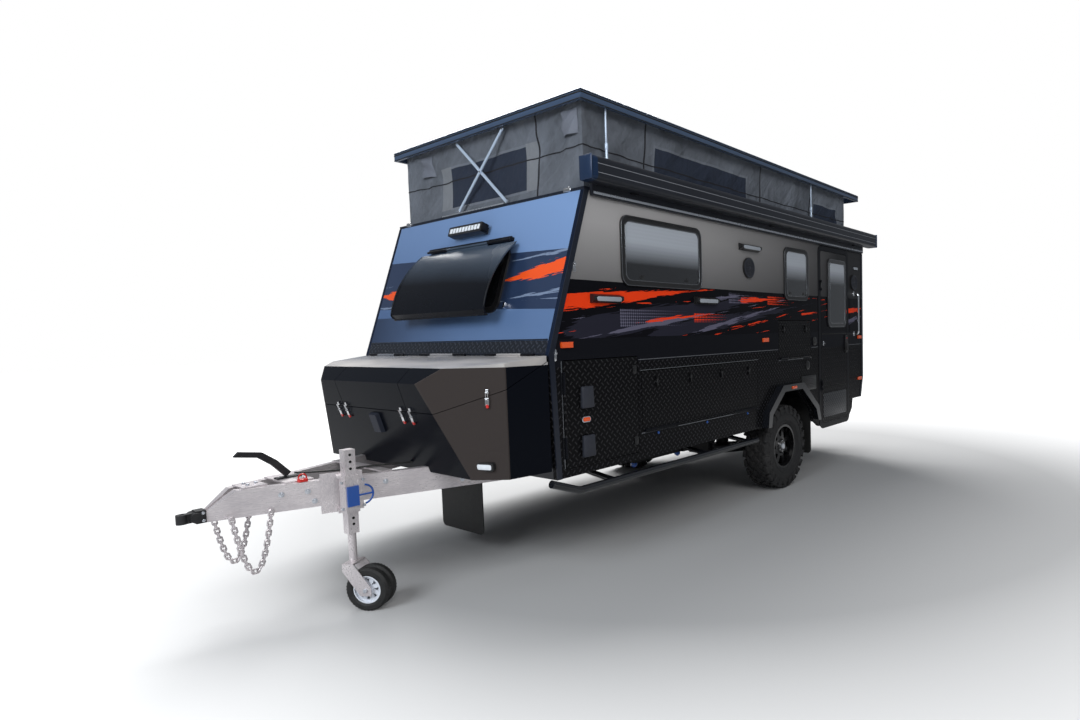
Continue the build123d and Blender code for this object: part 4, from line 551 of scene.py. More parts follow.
def makeRoofFinish():  # steel-blue edge and a pale top
    finish = Finish("roofPaint", (0.05, 0.09, 0.17), 0.26, 0.2, 0.2)
    z = finish.place()[2]
    cloud, speck = finish.noise(1.5, 3.0), finish.noise(30.0, 3.0)
    rise = ((z - roofPaint["edge"]) / roofPaint["fade"]).clip()
    edge = finish.mix(rise, (0.04, 0.068, 0.125), (0.062, 0.1, 0.175))
    top = finish.mix(speck, (0.23, 0.26, 0.29), (0.29, 0.32, 0.35))
    colour = finish.mix(z > roofPaint["top"], edge, top)
    colour = finish.mix(z < roofPaint["foot"], colour, (0.03, 0.04, 0.06))
    colour = finish.mix((cloud * 0.3).clip(), colour, (0.12, 0.17, 0.26))
    finish.dress(colour, (z > roofPaint["top"]) * 0.2 + cloud * 0.1 + 0.2, speck, 0.0002)


awning = {
    "front": 2.7, "rear": -2.04, "inner": 1.126, "outer": 1.237, "low": 2.512, "high": 2.664, "cap": 0.012,
    "face": 1.2, "ends": (-1.995, 2.655), "joints": ((2.555, 2.559), (2.611, 2.615)),
    "rail": (-1.87, 2.59, 2.452, 2.468), "brackets": (2.2, 0.3, -1.6),
}


def makeAwningFinish():  # long cassette with pale joints and dark blue ends
    finish = Finish("awningCase", (0.016, 0.018, 0.024), 0.3, 0.2, 0.1, 0.2)
    x, y, z = finish.place()
    cloud, (rear, front) = finish.noise(2.0, 3.0), awning["ends"]
    joints = sum(band(z, *row) for row in awning["joints"]) * (y > awning["face"])
    colour = finish.mix((cloud * 0.6).clip(), finish.colour, (0.035, 0.038, 0.048))
    colour = finish.mix(joints.clip() * 0.7, colour, (0.42, 0.44, 0.48))
    colour = finish.mix(((x > front) + (x < rear)).clip(), colour, (0.012, 0.03, 0.075))
    finish.dress(colour, cloud * 0.1 + 0.26, joints, 0.002)


makeAwningFinish()
makeSideFinish()
makeFrontFinish()
makePlateFinish("sidePlate", sides["plateBlack"])
makePlateFinish("kickPlate", (0.06, 0.062, 0.066), 0.6, 0.3)
makeMarkerFinish()
makeRoofFinish()
print("finishes made")

# ---- finishes of the CAD's nodes
nodesOfFinish = {  # every node of the frame, under its finish
    "sidePanel": "wall_left wall_right wall_rear door_leaf", "frontPanelPaintedSky": "wall_front",
    "chassisBlack": "floor chassis_rails suspension steadies", "boardLight": "lockers",
    "trimBlack": "top_frame mouldings", "roofPaint": "roof_shell", "unitWhite": "roof_units",
    "plasticBlack": "window_frames lamps", "tintedPane": "window_panes", "alloyBright": "strut_feet",
    "strutPaint": "strut_front_a strut_front_b strut_rear_a strut_rear_b side_poles",
    "doorPane": "door_window", "powderBlack": "door_frame hatch_hinges rear_bumper",
    "sidePlate": "tunnel_door_left tunnel_door_right locker_hatch table_hatch",
    "guardBlack": "stone_guard", "boxBlack": "toolbox lid_left lid_middle lid_right",
    "chrome": "toolbox_latches grab_handle", "castIron": "coupling", "releaseBlue": "jockey_handle",
    "galvanised": "crossmembers drawbar_left drawbar_right safety_chains jockey_post jockey_fork",
    "rubberBlack": "jockey_tyres mud_flaps", "jockeyWhite": "jockey_rims",
    "tyreRubber": "tyre_left tyre_right", "rimBlack": "rim_left rim_right spare_wheel",
    "railBlack": "arch_flares side_rails", "tankBlack": "water_tanks", "awningCase": "awning",
    "markerLens": "marker_lamps", "canvasGrey": "canvas",
}
for finish, names in nodesOfFinish.items():
    for name in names.split():
        nodes[name].data.materials.clear()
        nodes[name].data.materials.append(finishes[finish].material)

# ---- modelling helpers
pending = []  # primitives of the piece that is being made
everywhere = Matrix.Identity(4)
acrossMiddle = Matrix.Scale(-1, 4, (0, 1, 0))
bothSides = (everywhere, acrossMiddle)
quarterTurn = Matrix.Rotation(math.pi / 2, 4, "Z")


def editAll():
    bpy.ops.object.mode_set(mode="EDIT")
    bpy.ops.mesh.select_all(action="SELECT")


def leaveEdit():
    bpy.ops.object.mode_set(mode="OBJECT")


def startFresh():
    bpy.ops.object.select_all(action="DESELECT")


def soften(width):
    if width > 0:
        bevel = bpy.context.object.modifiers.new("edges", "BEVEL")
        bevel.width, bevel.segments = width, 2
        bevel.limit_method, bevel.angle_limit = "ANGLE", math.radians(35)
        bpy.ops.object.modifier_apply(modifier="edges")


def keep(place=everywhere):
    thing = bpy.context.object
    thing.data.transform(place)
    if place.determinant() < 0:
        thing.data.flip_normals()
    pending.append(thing)
    return thing


def addBlock(low, high, round=0.0, place=everywhere):
    low, high = Vector(low), Vector(high)
    startFresh()
    bpy.ops.mesh.primitive_cube_add(size=1, location=(low + high) / 2, scale=high - low)
    bpy.ops.object.transform_apply(location=True, rotation=False, scale=True)
    soften(round)
    return keep(place)


def addRod(start, end, radius, sides=20, round=0.0, place=everywhere):
    start, end = Vector(start), Vector(end)
    startFresh()
    bpy.ops.mesh.primitive_cylinder_add(vertices=sides, radius=radius, depth=(end - start).length)
    soften(round)
    turn = (end - start).to_track_quat("Z", "Y").to_matrix().to_4x4()
    return keep(place @ Matrix.Translation((start + end) / 2) @ turn)


def addTube(points, radius, closed=False, sides=8, order=3, place=everywhere):
    curve = bpy.data.curves.new("line", "CURVE")
    curve.dimensions, curve.bevel_depth, curve.bevel_resolution = "3D", radius, max(1, sides // 4)
    curve.use_fill_caps, curve.resolution_u = not closed, 6
    spline = curve.splines.new("NURBS" if order > 2 else "POLY")
    spline.points.add(len(points) - 1)
    for knot, point in zip(spline.points, points):
        knot.co = (*point, 1.0)
    if order > 2:
        spline.order_u, spline.use_endpoint_u = order, not closed
    spline.use_cyclic_u = closed
    startFresh()
    thing = bpy.data.objects.new("line", curve)
    bpy.context.collection.objects.link(thing)
    thing.select_set(True)
    bpy.context.view_layer.objects.active = thing
    bpy.ops.object.convert(target="MESH")
    return keep(place)


def shapeOutline(points, fill):  # a circle whose points are moved to an outline
    startFresh()
    bpy.ops.mesh.primitive_circle_add(vertices=len(points), fill_type="NGON" if fill else "NOTHING")
    for vertex, point in zip(bpy.context.object.data.vertices, points):
        vertex.co = point


def addTurned(profile, place, steps=48):  # closed profile of (radius, height) pairs, turned about Z
    shapeOutline([(r, 0, h) for r, h in profile], False)
    editAll()
    bpy.ops.mesh.spin(steps=steps, angle=math.tau, center=(0, 0, 0), axis=(0, 0, 1))
    bpy.ops.mesh.select_all(action="SELECT")
    bpy.ops.mesh.remove_doubles(threshold=0.00002)
    bpy.ops.mesh.normals_make_consistent(inside=False)
    leaveEdit()
    return keep(place)


def addPlate(outline, thick, round=0.0, place=everywhere):  # flat outline, extruded along Z
    shapeOutline([(x, y, 0) for x, y in outline], True)
    editAll()
    bpy.ops.mesh.extrude_region_move(TRANSFORM_OT_translate={"value": (0, 0, thick)})
    bpy.ops.mesh.select_all(action="SELECT")
    bpy.ops.mesh.normals_make_consistent(inside=False)
    leaveEdit()
    soften(round)
    return keep(place)


def roundedOutline(wide, high, corner):
    points, steps = [], 5
    for cx, cy, start in ((1, 1, 0), (-1, 1, 90), (-1, -1, 180), (1, -1, 270)):
        for i in range(steps + 1):
            a = math.radians(start + 90 * i / steps)
            x = cx * (wide / 2 - corner) + corner * math.cos(a)
            points.append((x, cy * (high / 2 - corner) + corner * math.sin(a)))
    return points


def addCard(wide, high, corner, thick, round, place):  # plate with rounded corners
    addPlate(roundedOutline(wide, high, corner), thick, round, place)


def facing(origin, outwards, up=(0, 0, 1)):  # matrix whose Z points outwards and whose Y points up
    z = Vector(outwards).normalized()
    x = Vector(up).cross(z).normalized()
    return Matrix.Translation(Vector(origin)) @ Matrix((x, z.cross(x), z)).transposed().to_4x4()


def addCopies(things, *places):  # each copy has its own mesh
    for place in places:
        for thing in things:
            twin = thing.copy()
            twin.data = thing.data.copy()
            twin.data.transform(place)
            if place.determinant() < 0:
                twin.data.flip_normals()
            bpy.context.collection.objects.link(twin)
            pending.append(twin)


def joinPending():
    startFresh()
    for thing in pending:
        thing.select_set(True)
    bpy.context.view_layer.objects.active = pending[0]
    if len(pending) > 1:
        bpy.ops.object.join()
    pending.clear()
    return bpy.context.object


def finishPiece(name, finish, body="caravan", angle=32, replaced=()):
    piece = joinPending()
    piece.name = piece.data.name = name
    bpy.ops.object.shade_smooth_by_angle(angle=math.radians(angle))
    piece.data.materials.clear()
    piece.data.materials.append(finishes[finish].material)
    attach(piece, body)
    if replaced:
        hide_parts(*replaced)
    return piece


leftFace = 1.1  # Y of the left wall's outer face


def onLeft(x, z, proud=0.0):  # X of the frame points to the rear, Y up, Z out of the left wall
    return facing(spot(x, leftFace + proud, z), (0, 1, 0))


# block on a side wall, from deep to proud of it
def sideBlock(side, x0, x1, z0, z1, deep, proud, round=0.001):
    y0, y1 = sorted((side * (leftFace + deep), side * (leftFace + proud)))
    addBlock(spot(x0, y0, z0), spot(x1, y1, z1), round)


def onNose(y, along, proud):  # X of the frame points to the left, Y up the slope, Z out of the front wall
    s, c = math.sin(nose["lean"]), math.cos(nose["lean"])
    place = spot(nose["kinkX"] - along * s + proud * c, y, nose["kinkZ"] + along * c + proud * s)
    return facing(place, (c, 0, s), (-s, 0, c))


def pick(table, keys):  # several values of a table
    return [table[key] for key in keys.split()]


# ---- road tyres with their tread blocks, and the spare wheel
tyre = {
    "radius": 0.41, "width": 0.265, "bead": 0.209, "hub": 0.9505, "blocks": 24, "blockHigh": 0.016,
    "spare": (-2.1095, 1.13), "rings": ((0.252, 0.003), (0.325, 0.004)), "short": 0.0015,
    # share of a step, Y, width, length, turn, depth under the tyre's round, drop of the top
    "tread": (
        (0.0, 0.028, 0.036, 0.066, 0.5, 0.004, 0.0), (0.5, 0.066, 0.032, 0.062, -0.45, 0.004, 0.0005),
        (0.0, 0.105, 0.036, 0.074, 0.12, 0.014, 0.004),
    ),
}


def addTread(angle, y, wide, long, turn, low, high):
    block = addBlock((-long / 2, -wide / 2, low), (long / 2, wide / 2, high), 0.003)
    block.data.transform(Matrix.Rotation(turn, 4, "Z"))
    block.data.transform(Matrix.Rotation(-math.radians(angle), 4, "Y") @ Matrix.Translation((0, y, 0)))


def makeTyre():
    r, half, bead = tyre["radius"] - tyre["blockHigh"], tyre["width"] / 2, tyre["bead"]
    profile = [
        (bead, -half + 0.034), (bead + 0.012, -half + 0.016), (bead + 0.034, -half + 0.006),
        (bead + 0.06, -half + 0.002), (bead + 0.1, -half + 0.004), (r - 0.034, -half + 0.011),
        (r - 0.014, -half + 0.024), (r, -half + 0.048), (r + 0.002, 0.0),
    ]
    profile = profile + [(a, -b) for a, b in reversed(profile[:-1])]
    addTurned(profile, Matrix.Rotation(-math.pi / 2, 4, "X"), 96)
    top, step = tyre["radius"] - tyre["short"], 360 / tyre["blocks"]
    for side in (1, -1):
        angle = 0.25 * side * step
        for share, y, wide, long, turn, deep, drop in tyre["tread"]:
            addTread(angle + share * step, side * y, wide, long, side * turn, r - deep, top - drop)
        rib = addBlock((-0.026, -0.004, -0.042), (0.026, 0.005, 0.03), 0.003)
        rib.data.transform(Matrix.Rotation(side * 0.14, 4, "X"))
        rib.data.transform(Matrix.Translation((0, side * (half - 0.0115), r - 0.03)))
        rib.data.transform(Matrix.Rotation(-math.radians(angle), 4, "Y"))
    turns = [Matrix.Rotation(math.radians(step * i), 4, "Y") for i in range(1, tyre["blocks"])]
    addCopies(pending[1:], *turns)
    circle = [math.tau * k / 72 for k in range(72)]
    for side in (1, -1):  # raised rings on the sidewall
        for size, wide in tyre["rings"]:
            y = side * (half - 0.0045)
            addTube([(size * math.cos(a), y, size * math.sin(a)) for a in circle], wide, True, 8, 2)
    return joinPending()


def placeTyres():
    model = makeTyre()
    for name, side in (("Left", 1), ("Right", -1)):
        addCopies([model], Matrix.Translation(spot(0, side * tyre["hub"], tyre["radius"])))
        low = name.lower()
        finishPiece("roadTyre" + name, "tyreRubber", "wheel_" + low, 40, ("tyre_" + low,))
    x, z = tyre["spare"]
    turned = Matrix.Translation(spot(x, 0, z)) @ quarterTurn
    addCopies([model], turned)
    finishPiece("spareTyre", "tyreRubber", angle=40)
    bpy.data.objects.remove(model)
    fromLeft = Matrix.Translation(-spot(0, tyre["hub"], tyre["radius"])) @ nodes["rim_left"].matrix_world
    addCopies([nodes["rim_left"]], turned @ fromLeft)
    pending[0].parent, pending[0].matrix_world = None, everywhere
    addRod(spot(-1.955, 0, z), spot(-2.06, 0, z), 0.03, 32, 0.002)  # from the post to the spare rim
    finishPiece("spareRim", "rimBlack", angle=30, replaced=("spare_wheel",))


hubTrim = {"face": 1.021, "nuts": 6, "circle": 0.052, "cap": 0.034, "proud": 0.03}


def addHubTrim(base, caps):  # Y of the base points out of the wheel
    r, deep = hubTrim["cap"], hubTrim["proud"]
    if caps:
        profile = [
            (0, -0.002), (r + 0.004, -0.002), (r + 0.004, 0.004), (r, 0.008), (r * 0.92, deep * 0.8),
            (r * 0.7, deep), (0, deep),
        ]
        addTurned(profile, base @ Matrix.Rotation(-math.pi / 2, 4, "X"), 40)
        return
    for i in range(hubTrim["nuts"]):
        a = math.tau * (i + 0.5) / hubTrim["nuts"]
        x, z = hubTrim["circle"] * math.cos(a), hubTrim["circle"] * math.sin(a)
        addRod((x, 0, z), (x, 0.016, z), 0.0095, 6, 0.0015, base)
    addRod((0.17, -0.01, 0.03), (0.172, 0.018, 0.034), 0.004, 12, 0.001, base)


def makeHubTrim():
    x, z = tyre["spare"]
    left = Matrix.Translation(spot(0, hubTrim["face"], tyre["radius"]))
    spare = Matrix.Translation(spot(x - hubTrim["face"] + tyre["hub"], 0, z)) @ quarterTurn
    rows = (
        ("Left", left, "wheel_left"), ("Right", acrossMiddle @ left, "wheel_right"),
        ("Spare", spare, "caravan"),
    )
    for name, base, body in rows:
        addHubTrim(base, True)
        finishPiece("hubCap" + name, "alloyBright", body, 35)
        addHubTrim(base, False)
        finishPiece("wheelNuts" + name, "chrome", body, 30)


placeTyres()
makeHubTrim()
print("wheels dressed")


# ---- canvas skirt of the pop-top
def clothPoint(u, z, proud=0.0):  # u runs round the cloth from its front left corner
    front, rear, half, high = pick(cloth, "front rear half high")
    edges = (  # length, X and Y of the first corner, way along
        (clothLong, front, half, (-1, 0)), (2 * half, rear, half, (0, -1)),
        (clothLong, rear, -half, (1, 0)), (2 * half, front, -half, (0, 1)),
    )
    u = w = u % clothRound
    for long, x, y, way in edges:
        if w < long:
            break
        w -= long
    left = min(w, long - w)
    t = (z - cloth["low"]) / (high - cloth["low"])
    belly, edge = math.sin(math.pi * min(1, max(0, t))), min(1.0, left / 0.3)
    fan = math.sin(math.atan2(high - z, left + 0.02) * 17)
    fan = fan * math.exp(-((math.hypot(left, high - z) / 0.45) ** 2))
    crease = math.sin(u * 9.3 + 4 * t) + 0.6 * math.sin(u * 21.7 - 6 * t + 1.3)
    crease = crease + 0.35 * math.sin(u * 47 + 9 * t)
    inwards = belly * edge * (cloth["sag"] + cloth["fold"] * (crease * 0.35 + 1.5 * fan)) + 0.002
    along, out = Vector((*way, 0)), Vector((way[1], -way[0], 0))
    return spot(x, y, z) + along * w + out * (proud - inwards)


# grid laid on the cloth; puff says how far a spot of it stands out
def clothPatch(u0, u1, z0, z1, proud, columns, rows, thick=0.0016, puff=None):
    startFresh()
    bpy.ops.mesh.primitive_grid_add(x_subdivisions=columns, y_subdivisions=rows, size=1)
    thing = bpy.context.object
    for vertex in thing.data.vertices:
        s, t = vertex.co.x + 0.5, vertex.co.y + 0.5
        extra = puff(s, t) if puff else 0.0
        vertex.co = clothPoint(u0 + (u1 - u0) * s, z0 + (z1 - z0) * t, proud + extra)
    for corner in thing.data.uv_layers.active.data:
        corner.uv = (corner.uv[0] * (u1 - u0), z0 + corner.uv[1] * (z1 - z0))
    editAll()
    if u1 - u0 >= clothRound:  # a patch that goes all round closes on itself
        bpy.ops.mesh.remove_doubles(threshold=0.00002)
    bpy.ops.mesh.normals_make_consistent(inside=False)
    leaveEdit()
    wall = thing.modifiers.new("cloth", "SOLIDIFY")
    wall.thickness, wall.offset = thick, -1.0
    bpy.ops.object.modifier_apply(modifier="cloth")
    keep()


def squashCloth(piece):
    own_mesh(piece)


clothTrim = {
    "seams": (0.633, 2.25, 3.28, 11.99, 4.6, 9.75, 8.2), "seam": 0.014, "cord": 0.009,
    "hoods": (12.34, 10.66, 4.43, 5.93), "hoodWide": 0.15, "hoodTall": 0.16, "hoodTop": 3.015,
    "hoodDeep": 0.024,
}


def makeCloth():
    low, high, z = cloth["low"] + 0.002, cloth["high"] - 0.002, cloth["cord"]
    clothPatch(0, clothRound, low, high, 0.0, 300, 26)
    skirt = finishPiece("canvasSkirt", "canvasGrey", angle=60, replaced=("canvas",))
    clothPatch(0, clothRound, z, z + clothTrim["cord"], 0.0022, 300, 2, 0.002)
    for u in clothTrim["seams"]:
        clothPatch(u, u + clothTrim["seam"], cloth["low"] + 0.01, cloth["high"] - 0.02, 0.0018, 2, 24)
    straps = finishPiece("canvasStraps", "webbing", angle=60)
    wide, tall, top, deep = pick(clothTrim, "hoodWide hoodTall hoodTop hoodDeep")

    def puff(s, t):
        return deep * max(0, math.sin(math.pi * s)) ** 0.7 * max(0, 1 - t) ** 0.8

    for u in clothTrim["hoods"]:
        clothPatch(u - wide / 2, u + wide / 2, top - tall, top, 0.003, 16, 12, 0.002, puff)
    hoods = finishPiece("canvasHoods", "hoodCloth", angle=60)
    for piece in (skirt, straps, hoods):
        squashCloth(piece)


poles = {"x": (2.41, -0.61), "y": 1.08, "low": 2.494, "high": 3.0735, "joint": 2.8}


def makePoles():
    y, low, high, joint = pick(poles, "y low high joint")
    for x in poles["x"]:
        addRod(spot(x, y, low), spot(x, y, joint), 0.0088, 20, 0.001)
        addRod(spot(x, y, joint - 0.02), spot(x, y, high), 0.0068, 20, 0.001)
        addRod(spot(x, y, joint - 0.03), spot(x, y, joint + 0.012), 0.0115, 20, 0.002)
        addBlock(spot(x - 0.012, y - 0.014, low + 0.0005), spot(x + 0.012, y + 0.014, low + 0.012), 0.002)
    addCopies(list(pending), acrossMiddle)
    squashCloth(finishPiece("sidePoles", "strutPaint", angle=35, replaced=("side_poles",)))


makeCloth()
makePoles()
print("canvas made")

# ---- roof edge, roof units and struts
roofTrim = {
    "front": 2.66, "rear": -1.78, "half": 1.11, "proud": 0.003, "slats": 9, "slatStart": -0.7,
    "slatPitch": 0.045, "unitHalf": (0.31, 0.346), "catches": (1.25, 1.33),
    "lines": ((3.073, 0.008), (3.0875, 0.005), (3.034, 0.006)),
}


def makeRoofTrim():
    front, rear, half, proud = pick(roofTrim, "front rear half proud")
    for z, thick in roofTrim["lines"]:
        for y in (half, -half):
            addBlock(spot(rear, y - proud, z), spot(front, y + proud, z + thick), 0.0005)
        for x in (front, rear):
            addBlock(spot(x - proud, -half, z), spot(x + proud, half, z + thick), 0.0005)
    finishPiece("roofEdgeLines", "slotBlack", "pop_top")
    for k in range(roofTrim["slats"]):
        x = roofTrim["slatStart"] + roofTrim["slatPitch"] * k
        for side in (1, -1):
            y0, y1 = sorted(side * y for y in roofTrim["unitHalf"])
            addBlock(spot(x, y0, 3.135), spot(x + 0.022, y1, 3.19), 0.002)
    finishPiece("airUnitSlats", "ventGrey", "pop_top")
    x0, x1 = roofTrim["catches"]
    for y in (-0.22, 0.22):
        addBlock(spot(x0, y - 0.02, 3.145), spot(x1, y + 0.02, 3.153), 0.003)
    finishPiece("roofHatchCatches", "plasticBlack", "pop_top")


strutTrim = {
    "pins": ((0.0, 2.77), (-0.28, 2.518), (0.28, 3.022)),  # Y, Z
    # name, X of the pins, way out, body
    "rows": (("Front", 2.616, 1, "strut_front_b"), ("Rear", -1.556, -1, "strut_rear_b")),
}


def makeStrutPins():
    for name, x, out, body in strutTrim["rows"]:
        for y, z in strutTrim["pins"]:
            addRod(spot(x + out * 0.0145, y, z), spot(x + out * 0.018, y, z), 0.0075, 20, 0.001)
        finishPiece("strutPins" + name, "chrome", body, 30)


makeRoofTrim()
makeStrutPins()
print("roof dressed")

# ---- front wall: light bar, catches, strip trims
lightBar = {"half": 0.2, "middle": 0.92, "proud": 0.08, "cells": 10, "fins": 7}


def makeLightBar():
    half, middle, proud, cells = pick(lightBar, "half middle proud cells")
    pitch = 2 * (half - 0.016) / cells
    cell, back = pitch * 0.38, proud - 0.004
    for k in range(cells):
        y = -half + 0.016 + pitch * (k + 0.5)
        addBlock((-cell, -0.019, -0.002), (cell, 0.019, 0.003), 0.002, onNose(y, middle, proud))
    finishPiece("lightBarCells", "lensWhite")
    for y in (-half - 0.004, half + 0.004):
        addBlock((-0.006, -0.03, -0.05), (0.006, 0.03, 0.0), 0.004, onNose(y, middle, back))
    for k in range(lightBar["fins"]):
        deep = -0.048 + 0.007 * k
        addBlock((-0.18, 0.0345, deep), (0.18, 0.038, deep + 0.0025), 0.0005, onNose(0, middle, back))
    finishPiece("lightBarEnds", "powderBlack")


frontTrim = {
    "catches": 0.95, "tracks": (2.6345, -1.5795), "trackEnds": (-0.497, 0.267), "strips": (0.095, 0.003),
}


def makeFrontTrim():
    for y in (-frontTrim["catches"], frontTrim["catches"]):  # they hold the pop-top down
        addBlock(spot(2.64, y - 0.035, 2.477), spot(2.659, y + 0.035, 2.499), 0.004)
        addRod(spot(2.652, y - 0.028, 2.501), spot(2.652, y + 0.028, 2.501), 0.007, 16, 0.001)
    finishPiece("roofCatches", "chrome")
    y0, y1 = frontTrim["trackEnds"]
    for x in frontTrim["tracks"]:  # outer lips of the sliding feet's tracks
        addBlock(spot(x, y0, 2.4935), spot(x + 0.005, y1, 2.507), 0.001)
    finishPiece("strutTrackLips", "alloyBright")
    for along in frontTrim["strips"]:
        addBlock((-1.065, -0.004, -0.002), (1.065, 0.004, 0.003), 0.001, onNose(0, along, 0))
    finishPiece("checkerStripTrims", "trimBlack")


guard = {
    "half": 0.566, "rim": 0.0065, "top": 0.775, "low": 0.2583, "lip": (0.237, 0.119), "clips": 0.587,
    # height along the slope, and how far the guard stands off the wall there
    "knots": ((0.784, 0.024), (0.6117, 0.111), (0.2583, 0.15)),
}


def guardProud(along):  # smooth curve through the three knots
    (a, first), (b, second), (c, third) = guard["knots"]
    first = first * (along - b) * (along - c) / ((a - b) * (a - c))
    second = second * (along - a) * (along - c) / ((b - a) * (b - c))
    return first + second + third * (along - a) * (along - b) / ((c - a) * (c - b)) + 0.003


def makeGuardRim():  # rolled edge down both sides and along the lower lip
    steps, half, lip = 14, guard["half"], guard["lip"]
    rows = [guard["top"] + (guard["low"] - guard["top"]) * i / steps for i in range(steps + 1)]
    side = [(half, along, guardProud(along)) for along in rows]
    side = side + [(half - 0.004, lip[0] + 0.006, 0.135), (half - 0.03, *lip)]
    path = side + [(-y, a, p) for y, a, p in reversed(side)]
    addTube([onNose(*point).translation for point in path], guard["rim"], False, 12, 2)
    finishPiece("guardRim", "guardBlack", "stone_guard", 50)
    for y in (guard["clips"], -guard["clips"]):  # clips that hold the guard shut
        addBlock((-0.008, -0.02, 0.0), (0.008, 0.02, 0.03), 0.003, onNose(y, 0.33, 0))
    finishPiece("guardClips", "chrome")


makeLightBar()
makeFrontTrim()
makeGuardRim()

# ---- side walls: trims, windows, latches, vents and lamps
trimLines = {
    # side, rear X, front X, low Z, high Z
    "rows": [
        (1, 0.17, 2.18, 1.364, 1.37), (1, -0.69, -0.545, 1.364, 1.37), (1, -1.87, -1.49, 1.364, 1.37),
        (-1, -1.87, 2.18, 1.364, 1.37), (1, 0.545, 2.165, 1.2875, 1.2925), (1, 0.545, 2.165, 0.838, 0.845),
        (1, -0.53, 0.16, 1.2585, 1.2655), (1, 2.893, 2.9, 0.72, 1.39), (-1, 2.893, 2.9, 0.72, 1.39),
    ],
    "catches": ((2.76, 1.98), (2.945, 1.43)),
}
windowTrim = {
    "rows": [(2.33, 1.4, 1.88, 2.36), (0.04, -0.46, 1.842, 2.35)], "band": 0.042, "corner": 0.05,
    "proud": 0.0145, "door": (-0.92, -1.39, 1.57, 2.31), "doorProud": 0.0185,
}


def addLoop(row, inset, corner, radius, proud, mirror=everywhere):
    x0, x1, z0, z1 = row
    outline = [(x, y, 0) for x, y in roundedOutline(x0 - x1 - 2 * inset, z1 - z0 - 2 * inset, corner)]
    addTube(outline, radius, True, 8, 2, mirror @ onLeft((x0 + x1) / 2, (z0 + z1) / 2, proud))


def makeWallTrims():
    for side, x0, x1, z0, z1 in trimLines["rows"]:
        sideBlock(side, x0, x1, z0, z1, -0.001, 0.003)
    finishPiece("wallTrimLines", "beadGrey")
    for x, z in trimLines["catches"]:
        for mirror in bothSides:
            addCard(0.026, 0.075, 0.012, 0.004, 0.001, mirror @ onLeft(x, z))
            addRod((0, 0.012, 0.002), (0, 0.012, 0.018), 0.008, 20, 0.002, mirror @ onLeft(x, z))
    finishPiece("wallCatches", "chrome")
    for row in windowTrim["rows"]:
        for mirror in bothSides:
            addLoop(row, windowTrim["band"] - 0.003, windowTrim["corner"], 0.003, windowTrim["proud"], mirror)
            addLoop(row, 0.004, 0.068, 0.0022, windowTrim["proud"] - 0.001, mirror)
    finishPiece("windowBeads", "beadGrey", angle=50)
    for x0, x1, z0, z1 in windowTrim["rows"]:
        for side in (1, -1):
            sideBlock(side, x1 + 0.06, x0 - 0.06, z1 - 0.014, z1 - 0.004, 0.013, 0.02, 0.002)
            for share in (0.22, 0.78):
                x = x1 + share * (x0 - x1)
                sideBlock(side, x - 0.02, x + 0.02, z0 + 0.055, z0 + 0.08, 0.0085, 0.0135, 0.002)
    finishPiece("windowHingeRails", "plasticBlack")
    addLoop(windowTrim["door"], 0.045, 0.045, 0.003, windowTrim["doorProud"])
    addLoop(windowTrim["door"], 0.004, 0.066, 0.0022, windowTrim["doorProud"] - 0.001)
    finishPiece("doorWindowBeads", "beadGrey", "entry_door", 50)


latchRows = (
    ("lockerLatchPulls", "locker_hatch", (1.985, 1.572, 1.141, 0.709), 1.2),
    ("tableLatchPulls", "table_hatch", (0.06, -0.4), 1.56),
)
stayButtons = {"x": (1.98, 1.36, 0.74), "z": 0.822}


def makeLatchPulls():
    for name, body, places, z in latchRows:
        for x in places:
            addRod((0, 0.012, 0), (0, 0.012, 0.014), 0.0095, 20, 0.002, onLeft(x, z))
            addBlock((-0.0045, -0.03, 0.0), (0.0045, 0.002, 0.0145), 0.002, onLeft(x, z))
        finishPiece(name, "plasticBlack", body)
    for x in stayButtons["x"]:
        addRod((0, 0, -0.002), (0, 0, 0.006), 0.01, 20, 0.002, onLeft(x, stayButtons["z"]))
    finishPiece("lockerStayButtons", "releaseBlue")


vents = {
    "x": 2.7, "rows": ((0.77, 0.905), (1.085, 1.22)), "proud": 0.0255, "wide": 0.053, "reflector": 1.007,
    "bolts": ((2.225, 0.8), (2.225, 1.3)),
}


def makeVents():
    for name, mirror in (("Left", everywhere), ("Right", acrossMiddle)):
        body = "tunnel_door_" + name.lower()
        for z0, z1 in vents["rows"]:
            wide, tall = vents["wide"], (z1 - z0) / 2 + 0.002
            outline = [(wide, -tall), (wide * 0.9, tall), (-wide * 0.9, tall), (-wide, -tall)]
            base = mirror @ onLeft(vents["x"], (z0 + z1) / 2, 0.004)
            addPlate(outline, vents["proud"], 0.006, base)
            for k in range(3):  # slots along the cover's foot
                x = -0.03 + 0.03 * k
                addBlock((x - 0.011, -tall - 0.0015, 0.006), (x + 0.011, -tall + 0.004, 0.018), 0.001, base)
        finishPiece("ventCover" + name, "ventGrey", body)
        base = mirror @ onLeft(vents["x"], vents["reflector"])
        addCard(0.062, 0.026, 0.012, 0.009, 0.003, base)
        finishPiece("reflector" + name, "lensOrange", body)
        addCard(0.076, 0.038, 0.017, 0.004, 0.001, base)
        finishPiece("reflectorBase" + name, "alloyBright", body)
        for place in vents["bolts"]:
            addCard(0.036, 0.062, 0.012, 0.007, 0.002, mirror @ onLeft(*place))
            addRod((0, 0, 0.006), (0, 0, 0.011), 0.011, 20, 0.002, mirror @ onLeft(*place))
        finishPiece("boltLatches" + name, "plasticBlack", body)


